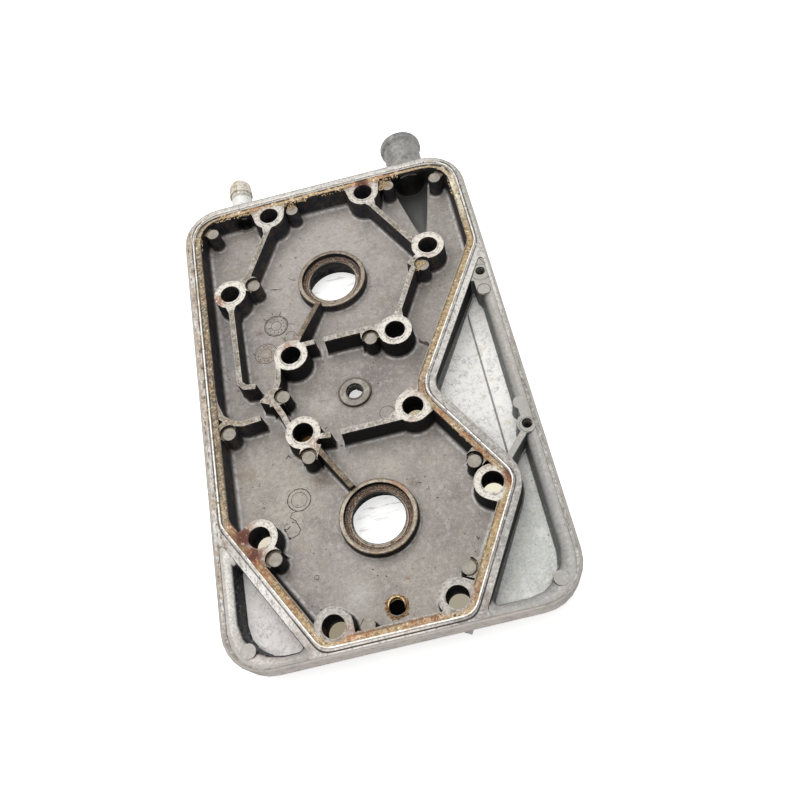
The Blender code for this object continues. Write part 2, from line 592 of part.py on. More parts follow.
def small_bores(group):
    for name, y in (("upper", SCREW_HOLE_Y), ("lower", -SCREW_HOLE_Y)):
        drill("screw_hole_" + name, (SCREW_HOLE_X, y), SCREW_HOLE_RADIUS, (-CLEAR, SCREW_HOLE_DEPTH), group,
              SMALL_STEPS)
    drill("centre_hole", (0, 0), CENTRE_HOLE_RADIUS, (CENTRE_BOSS_DEPTH - CLEAR, BODY_DEPTH + CLEAR), group)
    depths = (SLEEVE_TOP - CLEAR, SLEEVE_BOTTOM + FIT_GAP)
    drill("sleeve_hole", (0, SLEEVE_Y), SLEEVE_RADIUS + FIT_GAP, depths, group, SMALL_STEPS + 4)
    wall = UPPER.y + JACKET_TOP - LAND_WIDTH
    bore = NIPPLE_SHANK + FIT_GAP
    profile = [(0, RIM_TOP + CLEAR), (bore, RIM_TOP + CLEAR), (bore, wall - CLEAR), (0, wall - CLEAR)]
    turned("nipple_hole", profile,
           (NIPPLE_X, 0, level(NIPPLE_DEPTH)), group, SMALL_STEPS + 4, along_y=True)


def spigot_passage(group):
    """Bore of the spigot, and the half-cone trough in the floor that leads water to it."""
    profile = [(0, SPIGOT_END + CLEAR), (SPIGOT_BORE, SPIGOT_END + CLEAR), (SPIGOT_BORE, TROUGH_END + 0.0006),
               (TROUGH_RADIUS, TROUGH_END), (0.0004, TROUGH_START), (0, TROUGH_START)]
    turned("spigot_passage", profile, (SPIGOT_OFFSET, 0, level(SPIGOT_DEPTH)), group, ROUND_STEPS + 4,
           along_y=True)


def smooth_below(angle):
    """Node group that shades faces smooth and keeps edges sharper than this angle."""
    tree = bpy.data.node_groups.new("smooth_below_angle", "GeometryNodeTree")
    tree.interface.new_socket("Geometry", in_out="INPUT", socket_type="NodeSocketGeometry")
    tree.interface.new_socket("Geometry", in_out="OUTPUT", socket_type="NodeSocketGeometry")
    start, end = tree.nodes.new("NodeGroupInput"), tree.nodes.new("NodeGroupOutput")
    faces = tree.nodes.new("GeometryNodeSetShadeSmooth")
    edges = tree.nodes.new("GeometryNodeSetShadeSmooth")
    edges.domain = "EDGE"
    bend = tree.nodes.new("GeometryNodeInputMeshEdgeAngle")
    limit = tree.nodes.new("FunctionNodeCompare")
    limit.operation = "LESS_THAN"
    limit.inputs[1].default_value = angle
    tree.links.new(start.outputs[0], faces.inputs["Geometry"])
    tree.links.new(faces.outputs[0], edges.inputs["Geometry"])
    tree.links.new(bend.outputs["Unsigned Angle"], limit.inputs[0])
    tree.links.new(limit.outputs[0], edges.inputs["Shade Smooth"])
    tree.links.new(edges.outputs[0], end.inputs[0])
    return tree


def combine(piece, operation, group):
    step = piece.modifiers.new(operation.lower() + "_" + group.name, "BOOLEAN")
    step.operation = operation
    step.operand_type = "COLLECTION"
    step.collection = group
    step.solver = "EXACT"


def make_cover(part, material):
    """The one-piece casting, in the order in which its forms build up."""
    cover = cast_body(part)
    groups = {name: new_collection(name) for name in
              ("outer_forms", "hollows", "standing_forms", "milling", "pads", "bores")}
    outer_forms(groups["outer_forms"])
    jacket_cutter(groups["hollows"])
    pocket_cutters(groups["hollows"])
    bolt_bosses(groups["standing_forms"])
    land_blocks(groups["standing_forms"])
    jacket_ribs(groups["standing_forms"])
    pad_carriers(groups["standing_forms"])
    plug_rings(groups["standing_forms"])
    pocket_forms(groups["standing_forms"])
    width, length = 2 * (RIM_RIGHT + RIM_LEFT), 2 * (RIM_TOP + RIM_BOTTOM)
    bpy.ops.mesh.primitive_cube_add(size=1, location=(0, 0, SEAL_Z + CLEAR))
    slab = bpy.context.object
    slab.name, slab.dimensions = "face_mill", (width, length, 2 * CLEAR)
    bpy.ops.object.transform_apply(location=False, rotation=False, scale=True)
    for holder in list(slab.users_collection):
        holder.objects.unlink(slab)
    groups["milling"].objects.link(slab)
    slab.hide_render, slab.display_type = True, "WIRE"
    for name, (centre, aim) in ejector_pads().items():
        if name in BITTEN:
            drill("bite_" + name, centre, SADDLE_RADIUS, (-CLEAR, SADDLE_DEPTH), groups["milling"],
                  SMALL_STEPS)
        boss("pad_" + name, centre, PAD_RADIUS, groups["pads"], PAD_DEPTH, PAD_FOOT)
    pad_saddles(groups["pads"])
    sealing_bead(groups["pads"])
    plug_bores(groups["bores"])
    bolt_holes(groups["bores"])
    small_bores(groups["bores"])
    spigot_passage(groups["bores"])
    combine(cover, "UNION", groups["outer_forms"])
    combine(cover, "DIFFERENCE", groups["hollows"])
    combine(cover, "UNION", groups["standing_forms"])
    combine(cover, "DIFFERENCE", groups["milling"])
    combine(cover, "UNION", groups["pads"])
    combine(cover, "DIFFERENCE", groups["bores"])
    cover.data.materials.append(material)
    return cover


def make_sleeve(part, material):
    """Thin sleeve pressed into the floor, closed at its lower end."""
    wall = SLEEVE_RADIUS - SLEEVE_BORE
    profile = [(0, level(SLEEVE_BOTTOM - wall)), (SLEEVE_BORE, level(SLEEVE_BOTTOM - wall)),
               (SLEEVE_BORE, level(SLEEVE_TOP + wall / 4)), (SLEEVE_BORE + wall / 4, level(SLEEVE_TOP)),
               (SLEEVE_RADIUS - wall / 4, level(SLEEVE_TOP)), (SLEEVE_RADIUS, level(SLEEVE_TOP + wall / 4)),
               (SLEEVE_RADIUS, level(SLEEVE_BOTTOM)), (0, level(SLEEVE_BOTTOM))]
    sleeve = turned("sensor_sleeve", profile, (0, SLEEVE_Y, 0), part, SMALL_STEPS + 8)
    sleeve.data.materials.append(material)
    return sleeve


def make_nipple(part, material):
    """Small hose nipple: shank pressed through the end wall, barbed outer end."""
    start = UPPER.y + JACKET_TOP - LAND_WIDTH
    shoulder = RIM_TOP + FIT_GAP
    barb = NIPPLE_END - 0.0075
    profile = [(NIPPLE_BORE, NIPPLE_END), (NIPPLE_RADIUS - 0.0008, NIPPLE_END),
               (NIPPLE_RADIUS, NIPPLE_END - 0.0015), (NIPPLE_BARB, barb + 0.0008), (NIPPLE_BARB, barb),
               (NIPPLE_RADIUS - 0.0004, barb), (NIPPLE_RADIUS - 0.0004, shoulder + 0.002),
               (NIPPLE_BARB, shoulder + 0.0018), (NIPPLE_BARB, shoulder), (NIPPLE_SHANK, shoulder),
               (NIPPLE_SHANK, start), (NIPPLE_BORE, start), (NIPPLE_BORE, NIPPLE_END)]
    nipple = turned("vent_nipple", profile, (NIPPLE_X, 0, level(NIPPLE_DEPTH)), part, SMALL_STEPS + 8,
                    along_y=True)
    nipple.data.materials.append(material)
    return nipple


def main():
    for old in list(bpy.data.objects):
        bpy.data.objects.remove(old, do_unlink=True)
    part = new_collection("cylinder_head_cover")
    make_cover(part, new_material("cast_aluminium", (0.40, 0.39, 0.38), 0.85, 0.5))
    make_sleeve(part, new_material("sleeve_brass", (0.60, 0.47, 0.28), 0.9, 0.4))
    make_nipple(part, new_material("nipple_steel", (0.62, 0.59, 0.50), 0.9, 0.4))
    pieces = list(bpy.data.objects)
    centre = bpy.data.objects.new("centre_of_outline", None)
    centre.location = (-(RIM_RIGHT - RIM_LEFT) / 2, -(SPIGOT_END - RIM_BOTTOM) / 2, 0)
    part.objects.link(centre)
    shading = smooth_below(SMOOTH_ANGLE)
    for piece in pieces:
        piece.parent = centre
        if piece.name in part.objects:
            piece.modifiers.new("shading", "NODES").node_group = shading


main()
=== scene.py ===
from math import atan2, cos, hypot, pi, radians, sin
from random import Random

import bmesh
import bpy
from mathutils import Matrix, Vector, noise


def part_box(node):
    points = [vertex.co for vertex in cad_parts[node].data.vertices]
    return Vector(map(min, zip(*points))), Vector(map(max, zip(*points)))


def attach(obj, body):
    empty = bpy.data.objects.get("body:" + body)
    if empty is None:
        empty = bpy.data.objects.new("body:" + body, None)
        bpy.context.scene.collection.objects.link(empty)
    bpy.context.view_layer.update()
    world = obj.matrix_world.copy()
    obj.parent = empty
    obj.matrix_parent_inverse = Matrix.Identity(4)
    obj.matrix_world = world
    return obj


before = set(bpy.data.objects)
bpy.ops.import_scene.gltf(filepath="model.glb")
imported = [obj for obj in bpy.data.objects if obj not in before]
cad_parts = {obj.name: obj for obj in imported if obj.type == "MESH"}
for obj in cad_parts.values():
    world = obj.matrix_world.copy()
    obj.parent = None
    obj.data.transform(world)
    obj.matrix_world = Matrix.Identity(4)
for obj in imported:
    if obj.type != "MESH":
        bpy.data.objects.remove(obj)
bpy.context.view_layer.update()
print("stage: castings loaded,", len(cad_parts), "nodes")

casting = {
    "rimLeft": 66.3, "rimRight": 72.0, "rimTop": 113.3, "rimBottom": 111.8, "rimCorner": 18.5,
    "beadHeight": 0.5, "landWidth": 3.0, "floorDepth": 11.5,
    "plugOffset": 60.0, "boltCircle": 47.0, "boltHole": 4.5,
    "ringOuter": 16.0, "ringBore": 14.1, "ringDepth": 6.5, "seatDepth": 8.8,
    "padRadius": 2.9, "padDepth": 1.3, "centreBoss": 7.4, "sleeveY": -95.5,
    "spigotX": 47.0, "spigotDepth": 10.5, "spigotBore": 7.2, "spigotEnd": 134.5,
    "pads": [(-52.2, 99.1), (-12.1, 101.6), (35.9, 102.0), (58.7, 99.5), (-35.7, 62.3), (42.5, 50.4),
        (12.2, 18.5), (-54.8, -11.2), (-29.7, 0.3), (-22.9, -30.6), (42.2, -49.3), (-42.1, -70.0),
        (-11.0, -102.9), (30.0, -90.5)],
    # Sides of the sealing land: angle of the outward normal, distance, radius of the next corner
    "landSides": [(90, 109.2, 14), (180, 61.4, 10), (210, 78.8, 7), (270, 107.6, 7), (330, 77.8, 8),
        (30, 18.5, 12.6), (330, 30.8, 12), (0, 68.0, 14)],
    # How softly the tints of the land turn its corners: which side, how many mm
    "landTurns": [(7, 2.5), (0, 24), (1, 24), (2, 2), (3, 5.6), (4, 6)],
}

coverLow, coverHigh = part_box("cover")
middle = Vector((coverLow.x + casting["rimLeft"] / 1000, coverLow.y + casting["rimBottom"] / 1000,
                 coverHigh.z - casting["beadHeight"] / 1000))


def place(x, y, height=0.0):
    # point in the frame from mm right of, beyond and above the middle
    return middle + Vector((x, y, height)) / 1000


def beside(x, y, away, turn):
    # the place this far from another one, in the direction of the turn
    return Vector((x + away * cos(turn), y + away * sin(turn)))


def linear(red, green, blue):
    # linear colour from the 0 to 255 values of a picture
    parts = [c / 255 for c in (red, green, blue)]
    return tuple(c / 12.92 if c < 0.04045 else ((c + 0.055) / 1.055) ** 2.4 for c in parts) + (1.0,)


# Where things are on the casting

def landOutline(inset, step=0.6):
    # points along the sealing land, counter-clockwise, moved inwards by the inset
    sides = casting["landSides"]
    corners = []
    for i, (angle, distance, radius) in enumerate(sides):
        nextAngle, nextDistance, _ = sides[(i + 1) % len(sides)]
        n1, n2 = beside(0, 0, 1, radians(angle)), beside(0, 0, 1, radians(nextAngle))
        d1, d2 = distance - inset, nextDistance - inset
        cross = n1.x * n2.y - n1.y * n2.x
        corner = Vector((d1 * n2.y - d2 * n1.y, d2 * n1.x - d1 * n2.x)) / cross
        outward = 1 if cross > 0 else -1
        arc = max(radius - outward * inset, 0.3)
        half = abs(atan2(cross, n1.dot(n2))) / 2
        centre = corner - (n1 + n2).normalized() * outward * arc / cos(half)
        first = atan2(outward * n1.y, outward * n1.x)
        corners += [beside(*centre, arc, first + outward * half * k / 6) for k in range(13)]
    points = []
    for a, b in zip(corners, corners[1:] + corners[:1]):
        count = max(1, round((b - a).length / step))
        points += [a.lerp(b, k / count) for k in range(count)]
    return points


def landGap(x, y):
    # how far a place lies inside the outer edge of the sealing land
    gaps = [d - (x * cos(radians(a)) + y * sin(radians(a))) for a, d, _ in casting["landSides"]]
    return min(gaps[:5] + [max(gaps[5], gaps[6]), gaps[7]])


def rimGap(x, y):
    # how far a place lies inside the outer edge of the rim, with its round corners
    halfX = (casting["rimLeft"] + casting["rimRight"]) / 2
    halfY = (casting["rimTop"] + casting["rimBottom"]) / 2
    corner = casting["rimCorner"]
    dx = abs(x - (casting["rimRight"] - halfX)) - halfX + corner
    dy = abs(y - (casting["rimTop"] - halfY)) - halfY + corner
    return corner - hypot(max(dx, 0), max(dy, 0)) - min(max(dx, dy), 0)


def boltGap(x, y):
    # distance to the nearest bolt hole
    circle, high = casting["boltCircle"], abs(y) - casting["plugOffset"]
    return min(hypot(x - circle * cos(pi * k / 3), high - circle * sin(pi * k / 3)) for k in range(6))


def plugGap(x, y):
    # distance to the nearest plug axis
    return hypot(x, abs(y) - casting["plugOffset"])


def padGap(x, y):
    return min(hypot(x - a, y - b) for a, b in casting["pads"])


# Node trees written as plain sums

class Field:
    # a number, vector or colour that a finish works out at each point of a surface
    def __init__(self, tree, socket, look=None):
        self.tree, self.socket, self.look = tree, socket, look

    def made(self, kind, inputs, output=0, **settings):
        node = self.tree.nodes.new("ShaderNode" + kind)
        for name, value in settings.items():
            setattr(node, name, value)
        for name, value in inputs.items():
            if isinstance(value, Field):
                self.tree.links.new(value.socket, node.inputs[name])
            else:
                node.inputs[name].default_value = self.look[value] if isinstance(value, str) else value
        return Field(self.tree, node.outputs[output], self.look)

    def sum(self, operation, *others):
        return self.made("Math", dict(enumerate((self,) + others)), operation=operation)

    def __add__(self, other):
        return self.sum("ADD", other)

    def __sub__(self, other):
        return self.sum("SUBTRACT", other)

    def __rsub__(self, other):
        return self.sum("MULTIPLY_ADD", -1.0, other)

    def __mul__(self, other):
        return self.sum("MULTIPLY", other)

    def __truediv__(self, other):
        return self.sum("DIVIDE", other)

    def __abs__(self):
        return self.sum("ABSOLUTE")

    __radd__, __rmul__ = __add__, __mul__

    def least(self, other, soft=0.0):
        return self.sum("SMOOTH_MIN", other, soft) if soft else self.sum("MINIMUM", other)

    def most(self, other):
        return self.sum("MAXIMUM", other)

    def over(self, low, high):
        # 0 below low, 1 above high, smooth between
        return self.made("MapRange", {"Value": self, "From Min": low, "From Max": high},
                         interpolation_type="SMOOTHSTEP")

    def near(self, centre, reach, soft):
        # 1 within the reach of a centre value, 0 beyond
        return abs(self - centre).over(reach + soft, reach)

    def painted(self, *coats, blend="MIX"):
        # this colour with others laid over it in turn, each where its mask is 1
        tone = self
        for mask, colour in coats:
            tone = tone.made("Mix", {0: mask, 6: tone, 7: colour}, 2, data_type="RGBA", blend_type=blend)
        return tone


class Finish:
    # one material with its places in mm and the shader it ends in
    def __init__(self, name, look):
        # the look's plain colours are known by their names in the whole finish
        self.look = {key: linear(*value) for key, value in look.items()
                     if isinstance(value, tuple) and len(value) == 3}
        self.material = bpy.data.materials.new(name)
        self.material.use_nodes = True
        self.tree = self.material.node_tree
        self.tree.nodes.clear()
        self.shader = self.tree.nodes.new("ShaderNodeBsdfPrincipled")
        end = self.tree.nodes.new("ShaderNodeOutputMaterial")
        self.tree.links.new(self.shader.outputs[0], end.inputs[0])
        self.make = Field(self.tree, None, self.look).made
        where = self.make("TexCoord", {}, output=3)
        offset = self.make("VectorMath", {0: where, 1: middle}, operation="SUBTRACT")
        self.place = self.make("VectorMath", {0: offset, 3: 1000.0}, operation="SCALE")
        self.x, self.y, self.z = self.parts(self.place)
        self.up = self.parts(self.make("NewGeometry", {}, output=1))[2]

    def parts(self, vector):
        node = self.make("SeparateXYZ", {0: vector}).socket.node
        return [self.field(output) for output in node.outputs]

    def field(self, socket):
        return Field(self.tree, socket, self.look)

    def noise(self, size, detail=4.0, rough=0.6, stretch=(1, 1, 1), shift=0.0):
        # cloud noise whose blotches are about this many mm across
        spot = self.make("VectorMath", {0: self.place, 1: stretch}, operation="MULTIPLY")
        spot = self.make("VectorMath", {0: spot, 1: (shift, shift * 0.7, shift * 1.3)}, operation="ADD")
        inputs = {"Vector": spot, "Scale": 1 / size, "Detail": detail, "Roughness": rough}
        return self.make("TexNoise", inputs)

    def specks(self, size, share, shift=0.0, bite=0.5):
        # scattered ragged specks: a cell has one only where its own random value is below the share
        wave = self.make("TexNoise", {"Vector": self.place, "Scale": 2.2 / size, "Detail": 3.0}, output=1)
        wave = self.make("VectorMath", {0: wave, 3: size * bite}, operation="SCALE")
        spot = self.make("VectorMath", {0: self.place, 1: wave}, operation="ADD")
        spot = self.make("VectorMath", {0: spot, 1: (shift, shift, shift)}, operation="ADD")
        cell = self.make("TexVoronoi", {"Vector": spot, "Scale": 1 / size}).socket.node
        red, green = self.parts(self.field(cell.outputs[1]))[:2]
        there = red.over(share, share * 0.8)
        return self.field(cell.outputs[0]).over(0.06 + 0.14 * green, 0.03) * there

    def flat(self, value):
        node = self.tree.nodes.new("ShaderNodeRGB")
        node.outputs[0].default_value = self.look[value] if isinstance(value, str) else value
        return self.field(node.outputs[0])

    def away(self, x, y):
        return ((self.x - x) * (self.x - x) + (self.y - y) * (self.y - y)).sum("SQRT")

    def spot(self, x, y, reach, soft):
        # 1 inside a circle round a place
        return self.away(x, y).over(reach + soft, max(reach - soft, 0.0))

    def stained(self, tone, stains, ragged=None):
        # the tone with stains laid over it: place, reach, softness, colour, strength
        for x, y, reach, soft, colour, strength in stains:
            mask = self.spot(x, y, reach, soft) * strength
            tone = tone.painted((mask if ragged is None else mask * ragged, linear(*colour)))
        return tone

    def grained(self, tone, size, amount, dark, light, shift=0.0):
        # fine dark and light grain over a tone
        grain = self.noise(size * 1.5, 4, 0.8, shift=shift)
        low, high = grain.over(0.48, 0.39) * amount, grain.over(0.52, 0.61) * amount
        return tone.painted((high, dark), (low, light))

    def wrinkles(self, size, width, shift=0.0):
        # thin wandering lines where a cloud passes its middle value
        return self.noise(size, 4, 0.6, shift=shift).near(0.5, width * 0.3, width)

    def edges(self, radius):
        # 1 on the edges between faces, within this many mm
        soft, plain = self.make("Bevel", {"Radius": radius / 1000}, samples=6), self.make("NewGeometry", {}, 1)
        return self.make("VectorMath", {0: soft, 1: plain}, 1, operation="DOT_PRODUCT").over(0.99, 0.88)

    def bolt(self):
        # distance to the nearest bolt hole, by the symmetry of the two circles
        x, y = abs(self.x), abs(abs(self.y) - casting["plugOffset"])
        side, reach = casting["boltCircle"] * cos(pi / 3), casting["boltCircle"] * sin(pi / 3)
        first = (x - casting["boltCircle"]) * (x - casting["boltCircle"]) + y * y
        second = (x - side) * (x - side) + (y - reach) * (y - reach)
        return first.least(second).sum("SQRT")

    def plug(self):
        y = abs(self.y) - casting["plugOffset"]
        return (self.x * self.x + y * y).sum("SQRT")

    def land(self):
        # how far a point lies inside the outer edge of the sealing land
        gaps = []
        for angle, distance, _ in casting["landSides"]:
            a, b = cos(radians(angle)), sin(radians(angle))
            gaps.append(distance - (self.x * a + self.y * b))
        inside = gaps[5].sum("SMOOTH_MAX", gaps[6], 10.0)
        for side, soft in casting["landTurns"]:
            inside = inside.least(gaps[side], soft)
        return inside

    def finish(self, colour, rough, metal, height=None, bump=0.1, edge=0.0, specular=0.5):
        shader = self.shader.inputs
        values = {"Base Color": colour, "Roughness": rough, "Metallic": metal,
                  "Specular IOR Level": specular}
        for name, value in values.items():
            if isinstance(value, Field):
                self.tree.links.new(value.socket, shader[name])
            else:
                shader[name].default_value = value
        normal = self.make("Bevel", {"Radius": edge / 1000}, samples=4) if edge else None
        if height is not None:
            inputs = {"Strength": 1.0, "Distance": bump / 1000, "Height": height}
            if normal:
                inputs["Normal"] = normal
            normal = self.make("Bump", inputs)
        if normal:
            self.tree.links.new(normal.socket, shader["Normal"])
        return self.material


# Finishes of the casting

floorLook = {
    "plain": (166, 158, 151), "pale": (193, 187, 181), "dim": (128, 120, 116), "warm": (174, 160, 140),
    # Painted light among these colours: a pale highlight for the fillets, shade for the foot of the walls and
    # for the trough
    "filletHighlight": (206, 204, 202), "pit": (38, 30, 26), "rust": (128, 88, 56), "troughShade": (86, 86, 84),
    "streak": (108, 101, 97), "foot": (84, 78, 74),
    # Place, reach, softness, colour, strength
    "stains": [(0, 80, 28, 24, (190, 183, 178), 0.7), (-4, 0, 14, 12, (140, 132, 128), 0.6),
        (12, 6, 7, 9, (118, 110, 108), 0.7), (-50, 36, 8, 14, (146, 145, 146), 0.8),
        (52, 78, 8, 12, (184, 178, 170), 0.7), (-14, -2, 5, 6, (206, 198, 190), 0.7),
        (-36, -40, 18, 14, (188, 180, 168), 0.5), (18, -92, 12, 12, (186, 178, 166), 0.5),
        (30, -75, 14, 16, (148, 141, 133), 0.7), (58, 85, 9, 14, (164, 158, 151), 0.6),
        (-12, 52, 10, 14, (178, 170, 162), 0.5), (0, -88, 10, 12, (170, 161, 150), 0.6),
        (-35, -35, 16, 16, (176, 169, 158), 0.6), (-30, 20, 4, 6, (182, 172, 158), 0.5),
        (38, 8, 7, 8, (132, 125, 120), 0.7), (-4, -30, 10, 8, (176, 168, 160), 0.6),
        (-14, -88, 3, 6, (214, 210, 206), 0.5), (-51, -26, 4, 3, (150, 128, 100), 0.4),
        (-21, -37, 3, 3, (104, 74, 52), 0.6), (17, -47, 2, 2, (112, 94, 74), 0.7),
        (-15.8, 81.8, 0.5, 0.6, (96, 52, 36), 0.9), (-23.5, 79.4, 0.4, 0.5, (96, 52, 36), 0.8),
        (-38, 43.5, 1.5, 2, (112, 84, 60), 0.6), (-36.6, 31.5, 5.0, 1.5, (166, 146, 122), 0.45),
        (-30, 66, 3, 4, (196, 190, 184), 0.4), (8, -38, 3, 4, (196, 190, 176), 0.5),
        (33, -57, 3, 5, (122, 112, 102), 0.5)],
}


def jacketFloor():
    f = Finish("jacket_floor", floorLook)
    cloud, patch, grain = f.noise(17), f.noise(3.6, 5, 0.65, shift=9), f.noise(0.6, 3, 0.7)
    tone = f.stained(f.flat("plain"), floorLook["stains"])
    tone = tone.painted(
        (cloud.over(0.46, 0.7) * 0.5, "dim"),
        (patch.over(0.5, 0.72) * 0.55, "pale"),
        (f.noise(6.5, 4, 0.6, shift=31).over(0.56, 0.72) * 0.5, "warm"),
        (f.noise(2.0, 4, 0.7, (0.35, 1, 1), 50).over(0.58, 0.7) * 0.4, "streak"))
    tone = tone.painted((grain.over(0.35, 0.7) * 0.28, "dim"), blend="MULTIPLY")
    tone = f.grained(tone, 1.3, 0.3, "dim", "pale", 60)
    # pits and rust specks, then painted shade: the upper part of the fillets darker at the foot of the walls
    tone = tone.painted(
        (f.specks(3.6, 0.34) * 0.95, "pit"),
        (f.specks(6.5, 0.16, 5.0, 0.8) * 0.55, "rust"),
        (f.z.over(-11.2, -10.3) * 0.7, "foot"))
    # painted highlight: a pale band on the lower part of the fillets, where they turn up from the floor
    foot = f.z.near(0.45 - casting["floorDepth"], 0.22, 0.2)
    tone = tone.painted(
        (foot * f.noise(2.4, 4, 0.6, shift=14).over(0.36, 0.58) * 0.85, "filletHighlight"),
        # painted shade: the trough darker the deeper it goes
        (f.z.over(-11.7, -13.2), "troughShade"))
    rough = 0.6 - 0.2 * patch
    return f.finish(tone, rough, 0.15, grain + 1.6 * f.noise(2.2, 3, shift=4), 0.1, 0.3, specular=0.45)


wallLook = {
    # The dark and black of the walls stand for a dark coating and painted shade together
    "dark": (44, 46, 54), "brown": (76, 67, 58), "crust": (160, 128, 86), "foot": (96, 92, 90),
    "rusty": (112, 72, 42), "black": (9, 9, 9),
}


def jacketWall():
    f = Finish("jacket_wall", wallLook)
    patch = f.noise(4.0, 5, 0.65)
    # near black walls, a dark coating with painted shade; the wall round the spigot's mouth painted black
    # shade
    tone = f.flat("dark").painted(
        (patch.over(0.45, 0.66), "brown"),
        (f.spot(casting["spigotX"], 106, 10, 3) * f.z.over(-1.0, -3.0), "black"))
    tone = f.grained(tone, 1.2, 0.35, "black", "brown", 44)
    # painted shade: the walls of the middle and lower parts darkened to black
    tone = tone.painted((f.y.over(46, 26) * f.x.over(-50, -40) * 0.85, "black"))
    lip = f.z.over(-1.6, -0.1) * f.noise(1.6, 4, 0.7, shift=8).over(0.5, 0.62)
    tone = tone.painted((lip * 0.7, "crust"))
    runs = f.noise(2.4, 4, 0.7, (1, 1, 0.2), 25).over(0.6, 0.7) * f.z.over(-7, -1)
    tone = tone.painted(
        (runs * 0.6, "rusty"),
        (f.z.over(-9.0, -10.4) * patch.over(0.35, 0.6) * 0.6, "foot"))
    return f.finish(tone, 0.7, 0.0, patch, 0.25, 0.25, specular=0.25)


faceLook = {
    "rim": (196, 191, 184), "white": (232, 230, 226), "tan": (176, 156, 132),
    # The darkest colour here serves for pits and for painted shadow lines
    "scratch": (112, 102, 92), "pitAndShadow": (34, 29, 26), "nick": (60, 52, 46),
    "land": (156, 138, 112), "crumb": (222, 206, 176), "gap": (74, 56, 40), "gold": (206, 164, 102),
    "rust": (148, 84, 42), "deep": (98, 48, 30),
    "rib": (150, 140, 126), "ribPale": (190, 183, 173), "ribDark": (96, 82, 66),
    "boss": (240, 234, 222), "bossDark": (120, 104, 86), "bossGrey": (196, 192, 184),
    # Tints of the rim, the land and the ribs: place, reach, softness, colour, strength
    "rimStains": [(-64, 60, 60, 40, (186, 166, 143), 0.8), (-60, -106, 8, 10, (168, 155, 148), 0.8),
        (0, 112, 60, 20, (216, 213, 207), 0.8), (70, 90, 20, 20, (172, 169, 163), 0.8),
        (45, 20, 34, 14, (220, 217, 212), 0.8), (56, -84, 18, 10, (164, 162, 158), 0.9),
        (60, -110, 14, 8, (164, 162, 157), 0.9), (-48, -84, 16, 8, (238, 232, 228), 0.9),
        (72, -30, 30, 40, (142, 139, 134), 0.9), (-8, -111, 20, 9, (232, 223, 214), 1.0),
        (31, -110, 13, 6, (160, 153, 146), 0.95), (-66, -92, 14, 4, (142, 132, 124), 0.95),
        (-60, -106, 12, 4, (150, 140, 132), 0.95), (-44, -112, 14, 5, (170, 158, 150), 0.9)],
    "landStains": [(-61, 30, 60, 30, (100, 88, 72), 0.9), (0, 108, 50, 16, (206, 172, 124), 0.9),
        (66, 86, 14, 12, (232, 224, 198), 0.95), (60, 55, 12, 10, (180, 150, 98), 0.7),
        (48, 20, 24, 12, (176, 146, 96), 0.8), (40, -30, 14, 10, (186, 158, 120), 0.9),
        (-48, -80, 26, 12, (180, 146, 92), 0.9), (0, -107, 34, 12, (202, 172, 128), 0.9),
        (52, -78, 22, 10, (190, 160, 110), 0.8)],
    "ribStains": [(-24, -34, 14, 6, (158, 132, 100), 0.9), (-34, -4, 9, 6, (172, 150, 134), 0.8),
        (4, -22, 14, 6, (192, 184, 176), 0.8), (6, 24, 14, 6, (184, 178, 170), 0.8),
        (40, 30, 16, 8, (186, 180, 168), 0.6), (-52, -5, 9, 6, (164, 146, 118), 0.8),
        (-20, 24, 6, 5, (168, 132, 108), 0.8), (10, 40, 16, 6, (150, 136, 116), 0.6)],
    # Rust on the land and the bosses: place, reach, softness, strength
    "rusty": [(54.5, -60, 4, 3, 1.0), (50, -74, 3.5, 4, 0.9), (44, -90, 3.5, 4, 0.7), (44, -38, 3, 4, 0.9),
        (48, -46, 3.5, 3, 1.0), (33, -101, 4, 4, 0.9), (8, -107, 7, 7, 0.6), (-16, -106, 6, 6, 0.7),
        (-54, -54, 5, 3, 1.0), (-50, -66, 5, 3, 1.0), (-46, -74, 4, 3, 0.6), (-38, -88, 3, 5, 0.4),
        (23.4, 105.5, 5, 3, 0.9), (-53, 58, 3.5, 2, 1.0), (35, 108, 3, 4, 0.7), (34, -26, 3, 4, 0.8),
        (27, -12, 3, 4, 0.5), (-28, 107, 4, 5, 0.4), (-24.5, 25, 3, 3, 0.8), (-19, -24, 2.5, 2, 0.7),
        (22, -26, 2.5, 2, 0.5), (46, 52, 3, 3, 0.6), (47, -52, 3, 2, 0.4)],
    "deepRust": [(-53, -58, 4, 2), (-50, -66, 3, 2), (55, -57, 2.5, 2), (24, 106, 3, 2)],
}


